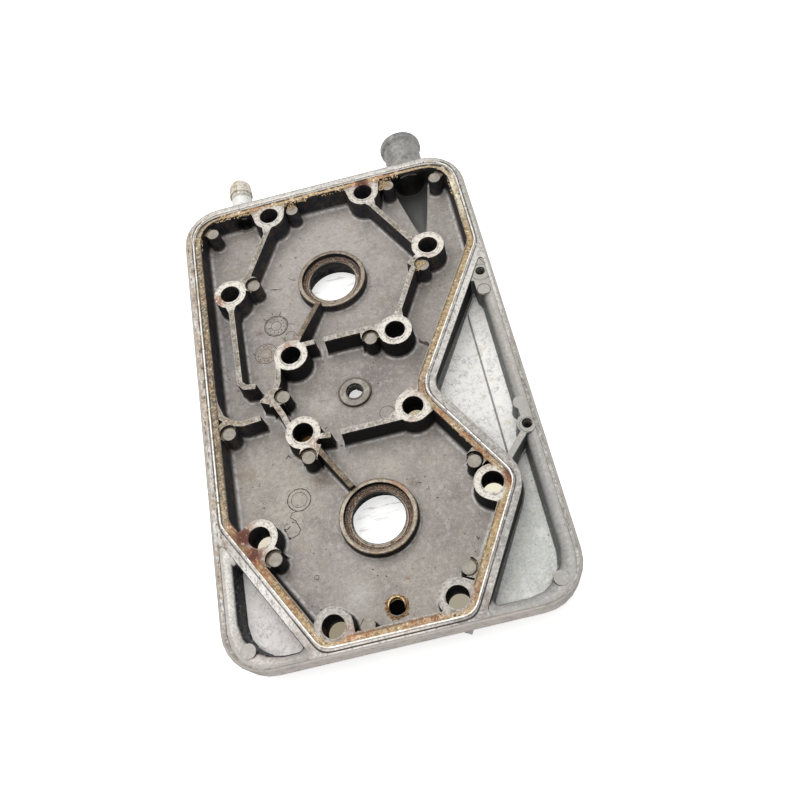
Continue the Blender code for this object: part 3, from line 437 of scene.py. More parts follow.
def machinedFace():
    f = Finish("machined_face", faceLook)
    s, bolt = f.land(), f.bolt()
    cloud, patch = f.noise(9), f.noise(2.4, 5, 0.7, shift=5)
    grain, crumb = f.noise(0.55, 4, 0.75, shift=2), f.noise(1.1, 5, 0.8, shift=12)
    rim = f.stained(f.flat("rim"), faceLook["rimStains"])
    left = f.x.over(-58, -62) * f.y.over(-98, -84)
    rim = rim.painted(
        (left * f.noise(2.2, 4, 0.7, (1, 0.25, 1), 17).over(0.46, 0.6) * 0.9, "white"),
        (left * f.noise(2.6, 4, 0.7, (1, 0.3, 1), 27).over(0.44, 0.56) * 0.9, "tan"),
        (left * f.noise(1.5, 4, 0.7, (1, 0.4, 1), 37).over(0.54, 0.62) * 0.8, "nick"),
        (f.noise(1.4, 4, 0.7, (1, 0.25, 1), 7).over(0.52, 0.66) * 0.55, "scratch"),
        (patch.over(0.5, 0.66) * 0.45, "white"))
    rim = f.grained(rim, 0.9, 0.42, "scratch", "white", 71)
    rim = rim.painted((f.specks(2.4, 0.34, 3.0) * 0.9, "nick"))
    brink = (f.x + casting["rimLeft"]).least(f.y + casting["rimBottom"]).least(casting["rimTop"] - f.y)
    rim = rim.painted((brink.over(1.0, 0.5) * f.noise(1.3, 4, 0.7, shift=83).over(0.5, 0.6) * 0.8, "nick"))
    land = f.stained(f.flat("land"), faceLook["landStains"])
    land = land.painted(
        (crumb.over(0.5, 0.6) * 0.6, "crumb"),
        (cloud.over(0.46, 0.6) * crumb.over(0.44, 0.56) * 0.45, "gold"))
    land = f.grained(land, 0.8, 0.65, "gap", "crumb", 91)
    land = land.painted((s.over(2.1, 2.9) * patch.over(0.32, 0.52) * 0.8, "gap"))
    rusty = None
    for x, y, reach, soft, strength in faceLook["rusty"]:
        mask = f.spot(x, y, reach, soft) * strength
        rusty = mask if rusty is None else rusty.most(mask)
    ragged = f.noise(1.6, 5, 0.7, shift=21)
    land = land.painted((rusty * ragged.over(0.4, 0.54), "rust"))
    rib = f.stained(f.flat("rib"), faceLook["ribStains"])
    rib = rib.painted(
        (cloud.over(0.44, 0.6) * 0.6, "ribPale"),
        (crumb.over(0.5, 0.62) * 0.8, "ribDark"),
        (patch.over(0.56, 0.66) * 0.6, "white"))
    rib = f.grained(rib, 0.8, 0.5, "ribDark", "white", 101)
    # rib edges painted pale: edge wear together with painted highlights along them
    worn = f.edges(0.5) * patch.over(0.3, 0.5)
    rib = rib.painted(
        (worn * 0.75, "boss"),
        (rusty * ragged.over(0.44, 0.58) * 0.8, "rust"))
    boss = f.flat("boss").painted(
        (f.y.over(-70, -95), "bossGrey"),
        (f.y.over(70, 96) * 0.5, "bossGrey"),
        (crumb.over(0.53, 0.64) * 0.6, "bossDark"),
        (f.specks(1.5, 0.42, 9.0) * 0.95, "pitAndShadow"))
    boss = f.grained(boss, 0.8, 0.55, "bossDark", "white", 111)
    boss = boss.painted((rusty * ragged.over(0.4, 0.5) * 0.85, "rust"))
    edge = bolt.near(4.7, 0.2, 0.25) * 0.6 + bolt.near(7.5, 0.1, 0.5) * 0.35
    boss = boss.painted((edge * patch.over(0.36, 0.56), "ribDark"))
    tone = rib.painted(
        (bolt.over(8.8, 7.7), boss),
        (s.over(3.5, 2.8), land),
        (bolt.over(7.9, 7.0) * s.over(1.2, 2.8), boss))
    for x, y, reach, soft in faceLook["deepRust"]:
        tone = tone.painted((f.spot(x, y, reach, soft) * ragged.over(0.3, 0.42) * s.over(0, 0.3), "deep"))
    tone = tone.painted((s.over(0.15, -0.15), rim))
    # painted shadow: dark lines along both feet of the bead, broken by patches, unbroken along most of the
    # bottom edge
    low = f.y.over(-80, -98) * f.x.over(60, 40)
    outer = s.near(-1.3, 0.22, 0.18) * (patch.over(0.34, 0.46) * 0.8).most(low)
    inner = s.near(0.14, 0.12, 0.14) * patch.over(0.32, 0.46)
    inner = inner.most(s.near(0.45, 0.3, 0.25) * f.y.over(94, 104) * patch.over(0.3, 0.42))
    tone = tone.painted((outer.most(inner) * 0.92, "pitAndShadow"))
    metal = s.over(0.0, -1.0) * 0.35
    return f.finish(tone, 0.48 + 0.2 * patch, metal, grain + 1.5 * crumb * s.over(-0.5, 0.5), 0.15, 0.25)


beadLook = {
    "bright": (244, 242, 238), "worn": (190, 180, 165), "dark": (58, 48, 40), "gold": (210, 176, 126),
}


def beadFinish():
    f = Finish("bead_skin", beadLook)
    patch, long = f.noise(1.3, 5, 0.7), f.noise(6.0, 4, 0.6, shift=5)
    tone = f.flat("bright").painted(
        (long.over(0.48, 0.62) * 0.8, "worn"),
        (patch.over(0.54, 0.62) * 0.7, "gold"),
        (patch.over(0.44, 0.36) * f.y.over(-104, -70) * 0.95, "dark"))
    tone = f.grained(tone, 0.8, 0.35, "worn", "bright", 7)
    # painted shade: the bead's sides dark near their foot
    tone = tone.painted((f.z.over(0.14, 0.04), "dark"))
    return f.finish(tone, 0.35 + 0.2 * patch, 0.4, patch, 0.1, 0.2)


pocketLook = {
    "floor": (212, 211, 207), "cloud": (242, 241, 237), "dim": (160, 162, 160), "stain": (208, 194, 166),
    # The pocket walls' dark grey and near black, the foot colour and the line colour are painted shade
    "wall": (84, 87, 85), "foot": (120, 122, 121), "speck": (88, 82, 76), "line": (60, 54, 48),
    "leftWallShade": (18, 20, 27), "vein": (150, 152, 150),
    "roll": (178, 175, 170), "rollDimAndShade": (132, 130, 126), "pad": (168, 164, 157),
    "stains": [(-52, -93, 20, 8, (228, 220, 219), 0.9), (50, -10, 26, 14, (250, 248, 243), 0.9),
        (57, -85, 24, 12, (194, 196, 191), 0.9), (60, -112, 8, 8, (178, 180, 176), 0.7)],
    "rollStains": [(-64, -75, 22, 8, (250, 246, 238), 0.95), (-54, -106, 10, 8, (224, 214, 206), 0.9),
        (69, 10, 30, 20, (190, 186, 177), 0.8), (69, -80, 30, 20, (176, 175, 173), 0.8)],
}


def pocketSkin():
    f = Finish("pocket_skin", pocketLook)
    cloud, patch, grain = f.noise(12), f.noise(2.6, 5, 0.7, shift=3), f.noise(0.5, 3, 0.7)
    tone = f.stained(f.flat("floor"), pocketLook["stains"])
    tone = tone.painted(
        (cloud.over(0.48, 0.66) * 0.6, "cloud"),
        (patch.over(0.52, 0.68) * 0.5, "dim"),
        (f.noise(5, shift=40).over(0.6, 0.7) * 0.6, "stain"))
    creased = f.noise(5, 3, 0.5, shift=77).over(0.46, 0.6)
    tone = tone.painted(
        (f.wrinkles(2.6, 0.04, 18) * creased * 0.5, "vein"),
        (f.wrinkles(1.3, 0.05, 48) * 0.3, "cloud"))
    roll = f.flat("roll").painted((patch.over(0.5, 0.66) * 0.6, "rollDimAndShade"))
    roll = f.stained(roll, pocketLook["rollStains"])
    # dim patches and wrinkles, then painted shade: the steeper part of the right-hand shoulders darker
    roll = roll.painted(
        (f.wrinkles(2.2, 0.04, 28) * 0.4, "rollDimAndShade"),
        (f.up.over(0.75, 0.35) * f.x.over(-40, 0) * 0.6, "rollDimAndShade"))
    # the shoulders, then painted shade: the fillets at the foot of the pocket walls darker
    tone = tone.painted(
        (f.z.over(-9.0, -7.5), roll),
        (f.up.over(0.95, 0.6) * f.z.over(-8.0, -9.0) * 0.8, "foot"))
    # painted shade: the steep pocket walls dark grey, near black on the left
    wall = f.flat("wall").painted((f.x.over(-20, -30), "leftWallShade"))
    # steep faces take the painted wall shade, flat ledges the pad colour, the small step at the rim's edge a
    # painted shadow line, then specks
    tone = tone.painted(
        (f.up.over(0.55, 0.2).most(f.up.over(0.75, 0.5) * f.x.over(-20, -30)), wall),
        (f.z.over(-0.75, -0.6) * f.up.over(0.8, 0.95) * 0.7, "pad"),
        (f.z.over(-0.62, -0.42) * f.up.over(0.9, 0.6), "line"),
        (f.specks(3.0, 0.25) * 0.75, "speck"))
    tone = f.grained(tone, 1.0, 0.18, "dim", "cloud", 37)
    return f.finish(tone, 0.45 + 0.15 * patch, 0.15, grain + 2 * f.noise(1.8, 3, shift=6), 0.09, 0.35)


outsideLook = {
    "skin": (176, 170, 164), "end": (208, 198, 190), "pale": (196, 191, 184), "dark": (120, 113, 106),
    "stain": (150, 134, 112),
}


def outsideSkin():
    f = Finish("outside_skin", outsideLook)
    cloud, patch, grain = f.noise(15), f.noise(3.0, 5, 0.7, shift=3), f.noise(0.6, 3, 0.7)
    tone = f.flat("skin").painted(
        (f.y.over(-109, -111), "end"),
        (cloud.over(0.42, 0.62) * 0.6, "pale"),
        (patch.over(0.52, 0.68) * 0.6, "dark"),
        (f.noise(6, shift=33).over(0.56, 0.7) * 0.5, "stain"),
        (f.specks(2.6, 0.35) * 0.8, "dark"),
        (f.z.over(-1.3, -0.2) * patch.over(0.4, 0.6) * 0.7, "pale"))
    return f.finish(tone, 0.55 + 0.15 * patch, 0.35, grain + 1.5 * f.noise(1.6, 4, shift=6), 0.14, 0.3)


spigotLook = {
    "skin": (154, 152, 148), "pale": (186, 184, 180), "dark": (84, 84, 85), "rim": (38, 38, 40),
}


def spigotSkin():
    f = Finish("spigot_skin", spigotLook)
    patch, fine, grain = f.noise(5.5, 6, 0.7, shift=2), f.noise(1.5, 4, 0.7, shift=11), f.noise(0.7, 4, 0.7)
    # mottled skin; the last mm at the end painted dark, a painted shade on the far rounding of the bead
    tone = f.flat("skin").painted(
        (patch.over(0.46, 0.66) * 0.6, "pale"),
        (patch.over(0.5, 0.32) * 0.5, "dark"),
        (fine.over(0.52, 0.64) * 0.6, "dark"),
        (f.y.over(casting["spigotEnd"] - 1.0, casting["spigotEnd"] - 0.3), "rim"))
    return f.finish(tone, 0.5, 0.3, grain, 0.1, 0.3)


boreLook = {
    "dark": (26, 22, 18), "brown": (84, 60, 38), "rust": (132, 78, 42), "pale": (120, 108, 88),
}


def boreWall():
    f = Finish("bore_wall", boreLook)
    patch = f.noise(2.2, 5, 0.7)
    # the spigot's bore is kept plain near black, a painted shade inside the tube
    tone = f.flat("dark").painted(
        (patch.over(0.4, 0.58) * 0.8, "brown"),
        (patch.over(0.48, 0.62) * f.y.over(20, -10) * 0.8, "rust"),
        (f.noise(1.3, 4, 0.7, (1, 1, 0.4), 15).over(0.56, 0.66) * 0.6, "pale"),
        (f.spot(casting["spigotX"], 120, 20, 3), "dark"))
    return f.finish(tone, 0.55, 0.1, patch, 0.3, 0.2)


ringLook = {
    "top": (166, 151, 132), "topPale": (190, 180, 164), "topDark": (98, 80, 62), "rust": (170, 116, 70),
    "seat": (136, 118, 98), "seatPale": (206, 196, 178), "outer": (54, 40, 30), "red": (132, 84, 56),
    "throat": (16, 15, 14), "well": (150, 140, 122), "centre": (140, 134, 124),
    "centrePale": (164, 158, 148), "pitAndShadow": (78, 70, 58),
}


def ringTop():
    f = Finish("ring_top", ringLook)
    crumb, patch = f.noise(0.8, 5, 0.75), f.noise(3.5, 4, shift=4)
    tone = f.flat("top").painted(
        (patch.over(0.45, 0.62), "topPale"),
        (crumb.over(0.5, 0.64) * 0.7, "topDark"),
        (f.y.over(50, 72) * patch.over(0.42, 0.56) * 0.7, "topDark"),
        (f.spot(11, -49, 4, 3) * crumb.over(0.38, 0.54) * 0.8, "rust"))
    away = f.plug()
    rims = away.over(15.6, 15.9).most(away.over(14.5, 14.2)) * patch.over(0.34, 0.5)
    tone = tone.painted((rims * 0.7, "topDark"))
    tone = f.grained(tone, 0.9, 0.4, "topDark", "topPale", 22)
    boss = f.flat("centre").painted(
        (patch.over(0.46, 0.6), "centrePale"),
        (crumb.over(0.54, 0.66) * 0.5, "topDark"))
    off = f.away(0, 0)
    boss = f.grained(boss, 0.9, 0.4, "topDark", "centrePale", 12)
    # painted shade: a dark line round the rim of the centre boss and a dark mouth at its hole
    boss = boss.painted(
        (off.near(6.9, 0.25, 0.3) * 0.85, "pitAndShadow"),
        (off.over(4.3, 3.8) * 0.9, "pitAndShadow"))
    tone = tone.painted((off.over(9, 8), boss))
    return f.finish(tone, 0.5, 0.25, crumb, 0.12, 0.25)


def plugSeat():
    f = Finish("plug_seat", ringLook)
    crumb, patch, away = f.noise(0.7, 5, 0.8), f.noise(2.5, 4, shift=4), f.plug()
    tone = f.flat("seat").painted(
        (patch.over(0.45, 0.6), "red"),
        (patch.over(0.46, 0.36) * 0.8, "topDark"),
        (away.over(12.0, 11.6) * patch.over(0.34, 0.5) * 0.8, "seatPale"),
        (away.near(12.1, 0.15, 0.25) * patch.over(0.36, 0.5) * 0.9, "outer"),
        (away.near(11.2, 0.1, 0.2) * crumb.over(0.4, 0.5) * 0.9, "outer"),
        (crumb.over(0.55, 0.62) * away.over(13.4, 12.0), "seatPale"),
        (away.over(12.9, 13.5) * crumb.over(0.34, 0.5) * 0.85, "outer"),
        (f.z.over(-8.95, -9.25), "throat"),
        (f.z.over(-11.2, -11.7), "well"))
    return f.finish(tone, 0.5, 0.2, crumb, 0.35, 0.2)


padLook = {
    "top": (150, 142, 130), "pale": (174, 167, 156), "dark": (108, 99, 85), "ring": (92, 80, 66),
}


def padTop():
    f = Finish("pad_top", padLook)
    crumb, patch = f.noise(0.9, 4, 0.7), f.noise(4.0, shift=7)
    tone = f.flat("top").painted(
        (patch.over(0.45, 0.6) * 0.7, "pale"),
        (crumb.over(0.54, 0.68) * 0.5, "dark"))
    tone = f.grained(tone, 0.8, 0.3, "dark", "pale", 5)
    tone = tone.painted((f.edges(0.4) * patch.over(0.42, 0.56) * 0.6, "ring"))
    return f.finish(tone, 0.55, 0.15, crumb, 0.06, 0.3)


saddleLook = {"top": (112, 98, 80), "pale": (150, 134, 110), "dark": (56, 46, 36)}


def saddleTop():
    f = Finish("saddle_top", saddleLook)
    crumb, patch = f.noise(0.9, 5, 0.75), f.noise(2.4, shift=7)
    tone = f.flat("top").painted(
        (patch.over(0.45, 0.6), "pale"),
        (crumb.over(0.5, 0.62) * 0.8, "dark"))
    return f.finish(tone, 0.6, 0.1, crumb, 0.15, 0.3)


def zoneOf(x, y, height, up):
    # name of the finish that a face of the cover takes, from its middle and its slope
    inside, bolt, plug = landGap(x, y), boltGap(x, y), plugGap(x, y)
    spigot = hypot(x - casting["spigotX"], height + casting["spigotDepth"])
    if spigot < casting["spigotBore"] + 0.2 and y > casting["rimTop"] - 10:
        return "boreWall"
    if y > casting["rimTop"] + 0.6:
        return "spigotSkin"
    if height > 0.02:
        return "beadFinish"
    if bolt < casting["boltHole"] + 0.2 and abs(up) < 0.7:
        return "boreWall"
    if plug < casting["ringBore"] + 0.1 and height < -casting["ringDepth"] - 0.05:
        return "plugSeat"
    if plug < casting["ringOuter"] + 0.2 and up > 0.9 and abs(height + casting["ringDepth"]) < 0.1:
        return "ringTop"
    if up > 0.9 and height > -0.06:
        return "machinedFace"
    if rimGap(x, y) < 1.7 or up < -0.3:
        return "outsideSkin"
    if inside < -4.4:
        return "pocketSkin"
    if padGap(x, y) < casting["padRadius"] + 0.1 and up > 0.9 and abs(height + casting["padDepth"]) < 0.2:
        return "padTop"
    if hypot(x, y) < casting["centreBoss"] + 0.1 and height > -11.2:
        return "ringTop" if up > 0.5 else "boreWall"
    if up > 0.5 and height > -9.6 and spigot > 10:
        return "saddleTop"
    if height < -9.9 and up > 0.12:
        return "jacketFloor"
    return "jacketWall"


softLook = {"angle": 30, "merge": 2e-6}


def softShade():
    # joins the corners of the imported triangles, then shades smooth below the edge angle
    tree = bpy.data.node_groups.new("soft_shade", "GeometryNodeTree")
    for way in ("INPUT", "OUTPUT"):
        tree.interface.new_socket("Geometry", in_out=way, socket_type="NodeSocketGeometry")
    kinds = ("NodeGroupInput", "GeometryNodeMergeByDistance", "GeometryNodeRemoveAttribute",
             "GeometryNodeSetShadeSmooth", "GeometryNodeSetShadeSmooth", "NodeGroupOutput")
    start, join, clear, faces, edges, end = (tree.nodes.new(kind) for kind in kinds)
    join.inputs["Distance"].default_value = softLook["merge"]
    clear.inputs["Name"].default_value = "custom_normal"
    edges.domain = "EDGE"
    bend = tree.nodes.new("GeometryNodeInputMeshEdgeAngle")
    limit = tree.nodes.new("FunctionNodeCompare")
    limit.operation = "LESS_THAN"
    limit.inputs[1].default_value = radians(softLook["angle"])
    chain = [start, join, clear, faces, edges, end]
    for a, b in zip(chain, chain[1:]):
        tree.links.new(a.outputs[0], b.inputs[0])
    tree.links.new(bend.outputs["Unsigned Angle"], limit.inputs[0])
    tree.links.new(limit.outputs[0], edges.inputs["Shade Smooth"])
    return tree


def dressCover(cover):
    # each face of the cover gets the finish of its zone
    makers = (machinedFace, beadFinish, jacketFloor, jacketWall, pocketSkin, outsideSkin, spigotSkin,
              boreWall, ringTop, plugSeat, padTop, saddleTop)
    cover.data.materials.clear()
    for make in makers:
        cover.data.materials.append(make())
    order = {make.__name__: i for i, make in enumerate(makers)}
    for face in cover.data.polygons:
        at = (face.center - middle) * 1000
        face.material_index = order[zoneOf(at.x, at.y, at.z, face.normal.z)]


dressCover(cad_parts["cover"])
softTree = softShade()
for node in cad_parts.values():
    node.modifiers.new("soft_shade", "NODES").node_group = softTree
print("stage: cover dressed")


# Pressed-in pieces

nippleLook = {
    "root": (240, 240, 237), "tip": (228, 223, 210), "film": (186, 166, 130), "bare": (132, 124, 110),
    "inside": (9, 9, 9),
}


def nippleFinish():
    f = Finish("nipple_skin", nippleLook)
    crumb, patch = f.noise(0.9, 5, 0.75), f.noise(3.0, 4, shift=4)
    # the neck painted near white, a painted highlight, under the stained tip
    tone = f.flat("root").painted(
        (crumb.over(0.5, 0.62) * 0.35, "tip"),
        (patch.over(0.52, 0.66) * 0.3, "bare"),
        (f.y.over(121, 125), "tip"),
        (f.y.over(121, 124) * patch.over(0.48, 0.56) * 0.8, "film"),
        (f.y.over(121, 123) * crumb.over(0.53, 0.6) * 0.85, "bare"),
        (f.y.near(122.0, 0.5, 0.6) * 0.5, "bare"),
        # painted shade: the inner end, inside the jacket, black
        (f.y.over(113.0, 112.6), "inside"))
    return f.finish(tone, 0.5, 0.1, crumb, 0.15, 0.25)


sleeveLook = {
    "brass": (196, 160, 104), "pale": (232, 212, 172), "tarnish": (88, 60, 36), "inside": (8, 7, 6),
}


def sleeveFinish():
    f = Finish("sleeve_skin", sleeveLook)
    crumb = f.noise(0.9, 5, 0.75)
    tone = f.flat("brass").painted(
        (crumb.over(0.46, 0.58), "pale"),
        (crumb.over(0.44, 0.36), "tarnish"))
    # painted shade: the inside of the sleeve black, with no metal or specular
    holeShade = f.away(0, casting["sleeveY"]).over(3.2, 3.05)
    tone = tone.painted((holeShade, "inside"))
    return f.finish(tone, 0.45, 0.4 - holeShade * 0.4, crumb, 0.12, 0.15, specular=0.5 - holeShade * 0.5)


for name, finish in (("vent_nipple", nippleFinish), ("sensor_sleeve", sleeveFinish)):
    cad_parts[name].data.materials.clear()
    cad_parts[name].data.materials.append(finish())
print("stage: nipple and sleeve dressed")


# Deposits and marks, each a piece of its own

def addPiece(name, mesh, look, grainSize=0.5, metal=0.1, regional=False):
    # a mesh, or one still under construction, becomes a finished piece that moves with the cover
    if isinstance(mesh, bmesh.types.BMesh):
        shape, mesh = mesh, bpy.data.meshes.new(name)
        shape.to_mesh(mesh)
        shape.free()
    mesh.name = name
    mesh.materials.append(crustFinish(name, look, grainSize, metal, regional))
    for face in mesh.polygons:
        face.use_smooth = True
    piece = bpy.data.objects.new(name, mesh)
    bpy.context.scene.collection.objects.link(piece)
    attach(piece, "root")


def grid(rows):
    # quads between rows of equal length, each row a list of points or None where there is nothing
    points, index = [], {}
    for i, row in enumerate(rows):
        for j, point in enumerate(row):
            if point is not None:
                index[i, j] = len(points)
                points.append(point)
    faces = []
    for i in range(len(rows) - 1):
        for j in range(len(rows[i]) - 1):
            corners = [index.get(key) for key in ((i, j), (i + 1, j), (i + 1, j + 1), (i, j + 1))]
            if None not in corners:
                faces.append(corners)
    mesh = bpy.data.meshes.new("grid")
    mesh.from_pydata(points, [], faces)
    return mesh


def roundGrid(around, across, spot):
    # a closed grid round an axis, its points found from the turn and the share of the way across
    return grid([[spot(2 * pi * (i % around) / around, k / across) for k in range(across + 1)]
                 for i in range(around + 1)])


def waver(turn, pace, seed, x=0.0, y=0.0):
    # noise that runs round a circle and closes
    return noise.noise(beside(x, y, pace, turn).to_3d() + Vector((0, 0, seed)))


def rough3(x, y, size, seed=0.0):
    # noise from about -1 to 1 whose bumps are this many mm across
    return noise.fractal(Vector((x / size, y / size, seed)), 1.0, 2.0, 4)


def crustFinish(name, look, grainSize, metal, regional):
    # a crumbly finish; the regional one takes the tints and the rust of the sealing land
    f = Finish(name, look)
    crumb, patch = f.noise(grainSize, 5, 0.75, shift=3), f.noise(3.2, 4, 0.65, shift=8)
    colour = f.flat("body")
    if regional:
        colour = f.stained(colour, faceLook["landStains"])
    colour = colour.painted((patch.over(0.48, 0.62) * 0.6, "pale"))
    if regional:
        colour = colour.painted(
            (patch.over(0.46, 0.38) * 0.55, "dark"),
            (f.noise(1.8, 5, 0.7, shift=61).over(0.54, 0.62) * 0.6, "ochre"),
            (f.land().over(2.0, 2.9) * patch.over(0.36, 0.5) * 0.7, "dark"))
    colour = colour.painted(
        (crumb.over(0.52, 0.6) * 0.8, "bright"),
        (crumb.over(0.46, 0.39), "dark"))
    if regional:
        rust = [(*spot, (176, 100, 44), strength) for *spot, strength in faceLook["rusty"]]
        rust += [(*spot, (112, 54, 32), 0.9) for spot in faceLook["deepRust"]]
        colour = f.stained(colour, rust, f.noise(1.6, 5, 0.7, shift=21).over(0.38, 0.56))
    return f.finish(colour, 0.5, metal, crumb, 0.12)


crustLook = {
    "body": (164, 142, 108), "pale": (206, 190, 156), "bright": (252, 244, 222), "dark": (84, 62, 42),
    "ochre": (160, 106, 58),
    "across": 9, "height": 0.34, "cover": 0.06,
    # Where the crust is thick: place, reach, extra
    "thick": [(-40, 108, 16, 0.5), (0, 108, 26, 0.4), (36, 108, 14, 0.45), (66, 92, 16, 0.5),
        (60, 52, 12, 0.3), (44, 10, 20, 0.25), (42, -36, 12, 0.3), (-50, -78, 24, 0.25),
        (-20, -107, 18, 0.4), (14, -107, 22, 0.45), (48, -90, 16, 0.45), (-60, 60, 30, -0.3),
        (-60, 0, 50, -0.5)],
}


def sealCrust():
    # baked sealing paste on the land: a thin ragged skin with holes where it flaked off
    rows = []
    rings = [landOutline(0.15 + (casting["landWidth"] - 0.2) * k / (crustLook["across"] - 1), 0.4)
             for k in range(crustLook["across"])]
    count = min(len(ring) for ring in rings)
    for i in range(count + 1):
        row = []
        for k, ring in enumerate(rings):
            p = ring[round(i * (len(ring) - 1) / count) % len(ring)]
            extra = sum(e * max(0.0, 1 - hypot(p.x - x, p.y - y) / reach)
                        for x, y, reach, e in crustLook["thick"])
            height = rough3(p.x, p.y, 1.5, 3.0) * 0.6 + rough3(p.x, p.y, 5.0, 9.0) * 0.5 + extra - 0.12
            edge = 1.0 if 0 < k < crustLook["across"] - 1 else 0.0
            if height < crustLook["cover"] or boltGap(p.x, p.y) < casting["boltHole"] + 0.7:
                row.append(None)
            else:
                thick = crustLook["height"] * min(height, 1.0) * edge
                row.append(place(p.x, p.y, max(0.02, thick * (0.7 + 0.7 * rough3(p.x, p.y, 0.6, 1.0)))))
        rows.append(row)
    addPiece("seal_crust", grid(rows), crustLook, 1.5, 0.05, True)


def stone(shape, centre, radius, squash, rng):
    # one irregular crumb added to a shape
    made = bmesh.ops.create_icosphere(shape, subdivisions=1, radius=1.0)
    turn = Matrix.Rotation(rng.uniform(0, 2 * pi), 3, "Z")
    stretch = rng.uniform(0.6, 1.0)
    for vertex in made["verts"]:
        p = vertex.co * rng.uniform(0.72, 1.18)
        p = turn @ Vector((p.x, p.y * stretch, p.z * squash))
        vertex.co = centre + p * radius / 1000


def heap(name, stones, look, grainSize, seed):
    # many crumbs as one piece: place, height, radius, squash
    rng, shape = Random(seed), bmesh.new()
    for x, y, height, radius, squash in stones:
        stone(shape, place(x, y, height), radius, squash, rng)
    addPiece(name, shape, look, grainSize)


dirtLook = {
    "body": (52, 42, 34), "pale": (84, 66, 48), "bright": (120, 96, 70), "dark": (24, 18, 14),
    "count": 300, "radius": (0.1, 0.4), "nearFeet": 0.5, "fieldX": (-58, 64), "fieldY": (-104, 105),
    # Distances that stay clear of dirt
    "clear": {"land": 5, "bolt": 10, "plug": 17.8, "pad": 4.6, "centre": 8.2, "sleeve": 6, "spigot": 11},
}


def jacketDirt():
    # dark grains on the jacket floor, more of them beside the bosses and the land
    rng, clear, stones = Random(11), dirtLook["clear"], []
    while len(stones) < dirtLook["count"]:
        x, y = rng.uniform(*dirtLook["fieldX"]), rng.uniform(*dirtLook["fieldY"])
        gaps = {"land": landGap(x, y), "bolt": boltGap(x, y), "plug": plugGap(x, y), "pad": padGap(x, y),
                "centre": hypot(x, y), "sleeve": hypot(x, y - casting["sleeveY"]),
                "spigot": abs(x - casting["spigotX"]) if y > 68 else 99}
        if any(gaps[key] < clear[key] for key in clear):
            continue
        if gaps["bolt"] > 14 and gaps["land"] > 9 and rng.random() > dirtLook["nearFeet"]:
            continue
        radius = rng.uniform(*dirtLook["radius"]) * rng.uniform(0.5, 1.0)
        stones.append((x, y, -casting["floorDepth"] + 0.1 * radius, radius, 0.4))
    heap("jacket_dirt", stones, dirtLook, 0.3, 12)


dripLook = {
    "body": (204, 174, 124), "pale": (228, 204, 158), "bright": (252, 242, 212), "dark": (78, 56, 34),
    # Runs of baked paste on the inner edge of the land: from, to, how many, largest radius
    "runs": [((-50, 105.9), (-30, 106.0), 60, 0.62), ((-22, 105.9), (-4, 106.0), 60, 0.6),
        ((4, 105.9), (16, 106.0), 26, 0.45), ((-57.9, 90), (-57.9, 98), 14, 0.4),
        ((30.5, 105.9), (42, 106.0), 36, 0.6), ((64.6, 86), (64.6, 98), 20, 0.5),
        ((-20, -104.2), (-2, -104.3), 26, 0.5), ((6, -104.2), (20, -104.3), 26, 0.5),
        ((38.9, -33.5), (46.6, -46.8), 40, 0.4), ((34.8, -89.0), (39.6, -80.5), 26, 0.45)],
    # Lumps: place, height, spread, how many, largest radius
    "lumps": [(34.0, 104.4, -1.0, 2.0, 90, 0.45), (32.2, 102.0, -1.0, 1.6, 50, 0.4),
        (36.4, 103.2, -1.2, 1.8, 50, 0.4), (40.8, 52.6, -1.1, 1.8, 90, 0.45),
        (39.6, 49.6, -0.9, 1.3, 60, 0.4), (43.0, 52.0, -1.2, 1.6, 50, 0.4),
        (-12.2, 104.4, -0.9, 1.8, 60, 0.4), (34.4, -88.6, -1.0, 1.2, 30, 0.35)],
}


def landDrips():
    # lumps of the same paste that hang over the inner edge and lie on some pads
    rng, stones = Random(5), []
    for start, end, count, largest in dripLook["runs"]:
        for _ in range(count):
            share = rng.random()
            x, y = (a + (b - a) * share + rng.uniform(-0.3, 0.3) for a, b in zip(start, end))
            if boltGap(x, y) > casting["boltHole"] + 0.9:
                stones.append((x, y, rng.uniform(-0.9, 0.12), rng.uniform(0.15, largest), 0.7))
    for x, y, height, spread, count, largest in dripLook["lumps"]:
        for _ in range(count):
            turn, far = rng.uniform(0, 2 * pi), spread * rng.random() ** 0.5
            stones.append((*beside(x, y, far, turn), height + rng.uniform(-0.3, 0.1),
                           rng.uniform(0.12, largest), 0.45))
    heap("land_drips", stones, dripLook, 0.5, 6)


collarLook = {
    "body": (128, 92, 56), "pale": (158, 120, 76), "bright": (206, 176, 128), "dark": (60, 36, 20),
    "inner": 3.6, "outer": 4.6, "height": 0.5,
}


def sleeveCrust():
    # rust and lime that grew round the pressed-in sleeve
    def spot(turn, across):
        outer = collarLook["outer"] + 0.9 * waver(turn, 2.2, 4.0) + 1.3 * abs(waver(turn, 5, 1.0))
        away = collarLook["inner"] + (outer - collarLook["inner"]) * across
        x, y = beside(0, casting["sleeveY"], away, turn)
        high = collarLook["height"] * (1 - across) * (0.75 + 0.7 * rough3(x, y, 0.7, 2.0))
        return place(x, y, 0.02 - casting["floorDepth"] + max(high, 0.0))

    addPiece("sleeve_crust", roundGrid(96, 7, spot), collarLook, 0.6)


residueLook = {
    "body": (56, 36, 26), "pale": (96, 58, 40), "bright": (172, 150, 124), "dark": (22, 15, 12),
    "inner": 12.7, "width": 1.35,
}


def plugResidue():
    # what the sealing rings left in the outer half of the plug seats
    for tag, side in (("upper", 1), ("lower", -1)):
        def spot(turn, across):
            ragged = 0.25 * waver(turn, 6, side) if across < 0.5 else 0
            away = residueLook["inner"] + residueLook["width"] * across + ragged
            x, y = beside(0, side * casting["plugOffset"], away, turn)
            lump = max(0.22 + 0.3 * rough3(x, y, 1.1, 5.0), 0.02) + 0.25 * across ** 2
            return place(x, y, 0.015 - casting["seatDepth"] + (lump if across > 0 else 0.0))

        addPiece("plug_residue_" + tag, roundGrid(180, 6, spot), residueLook)


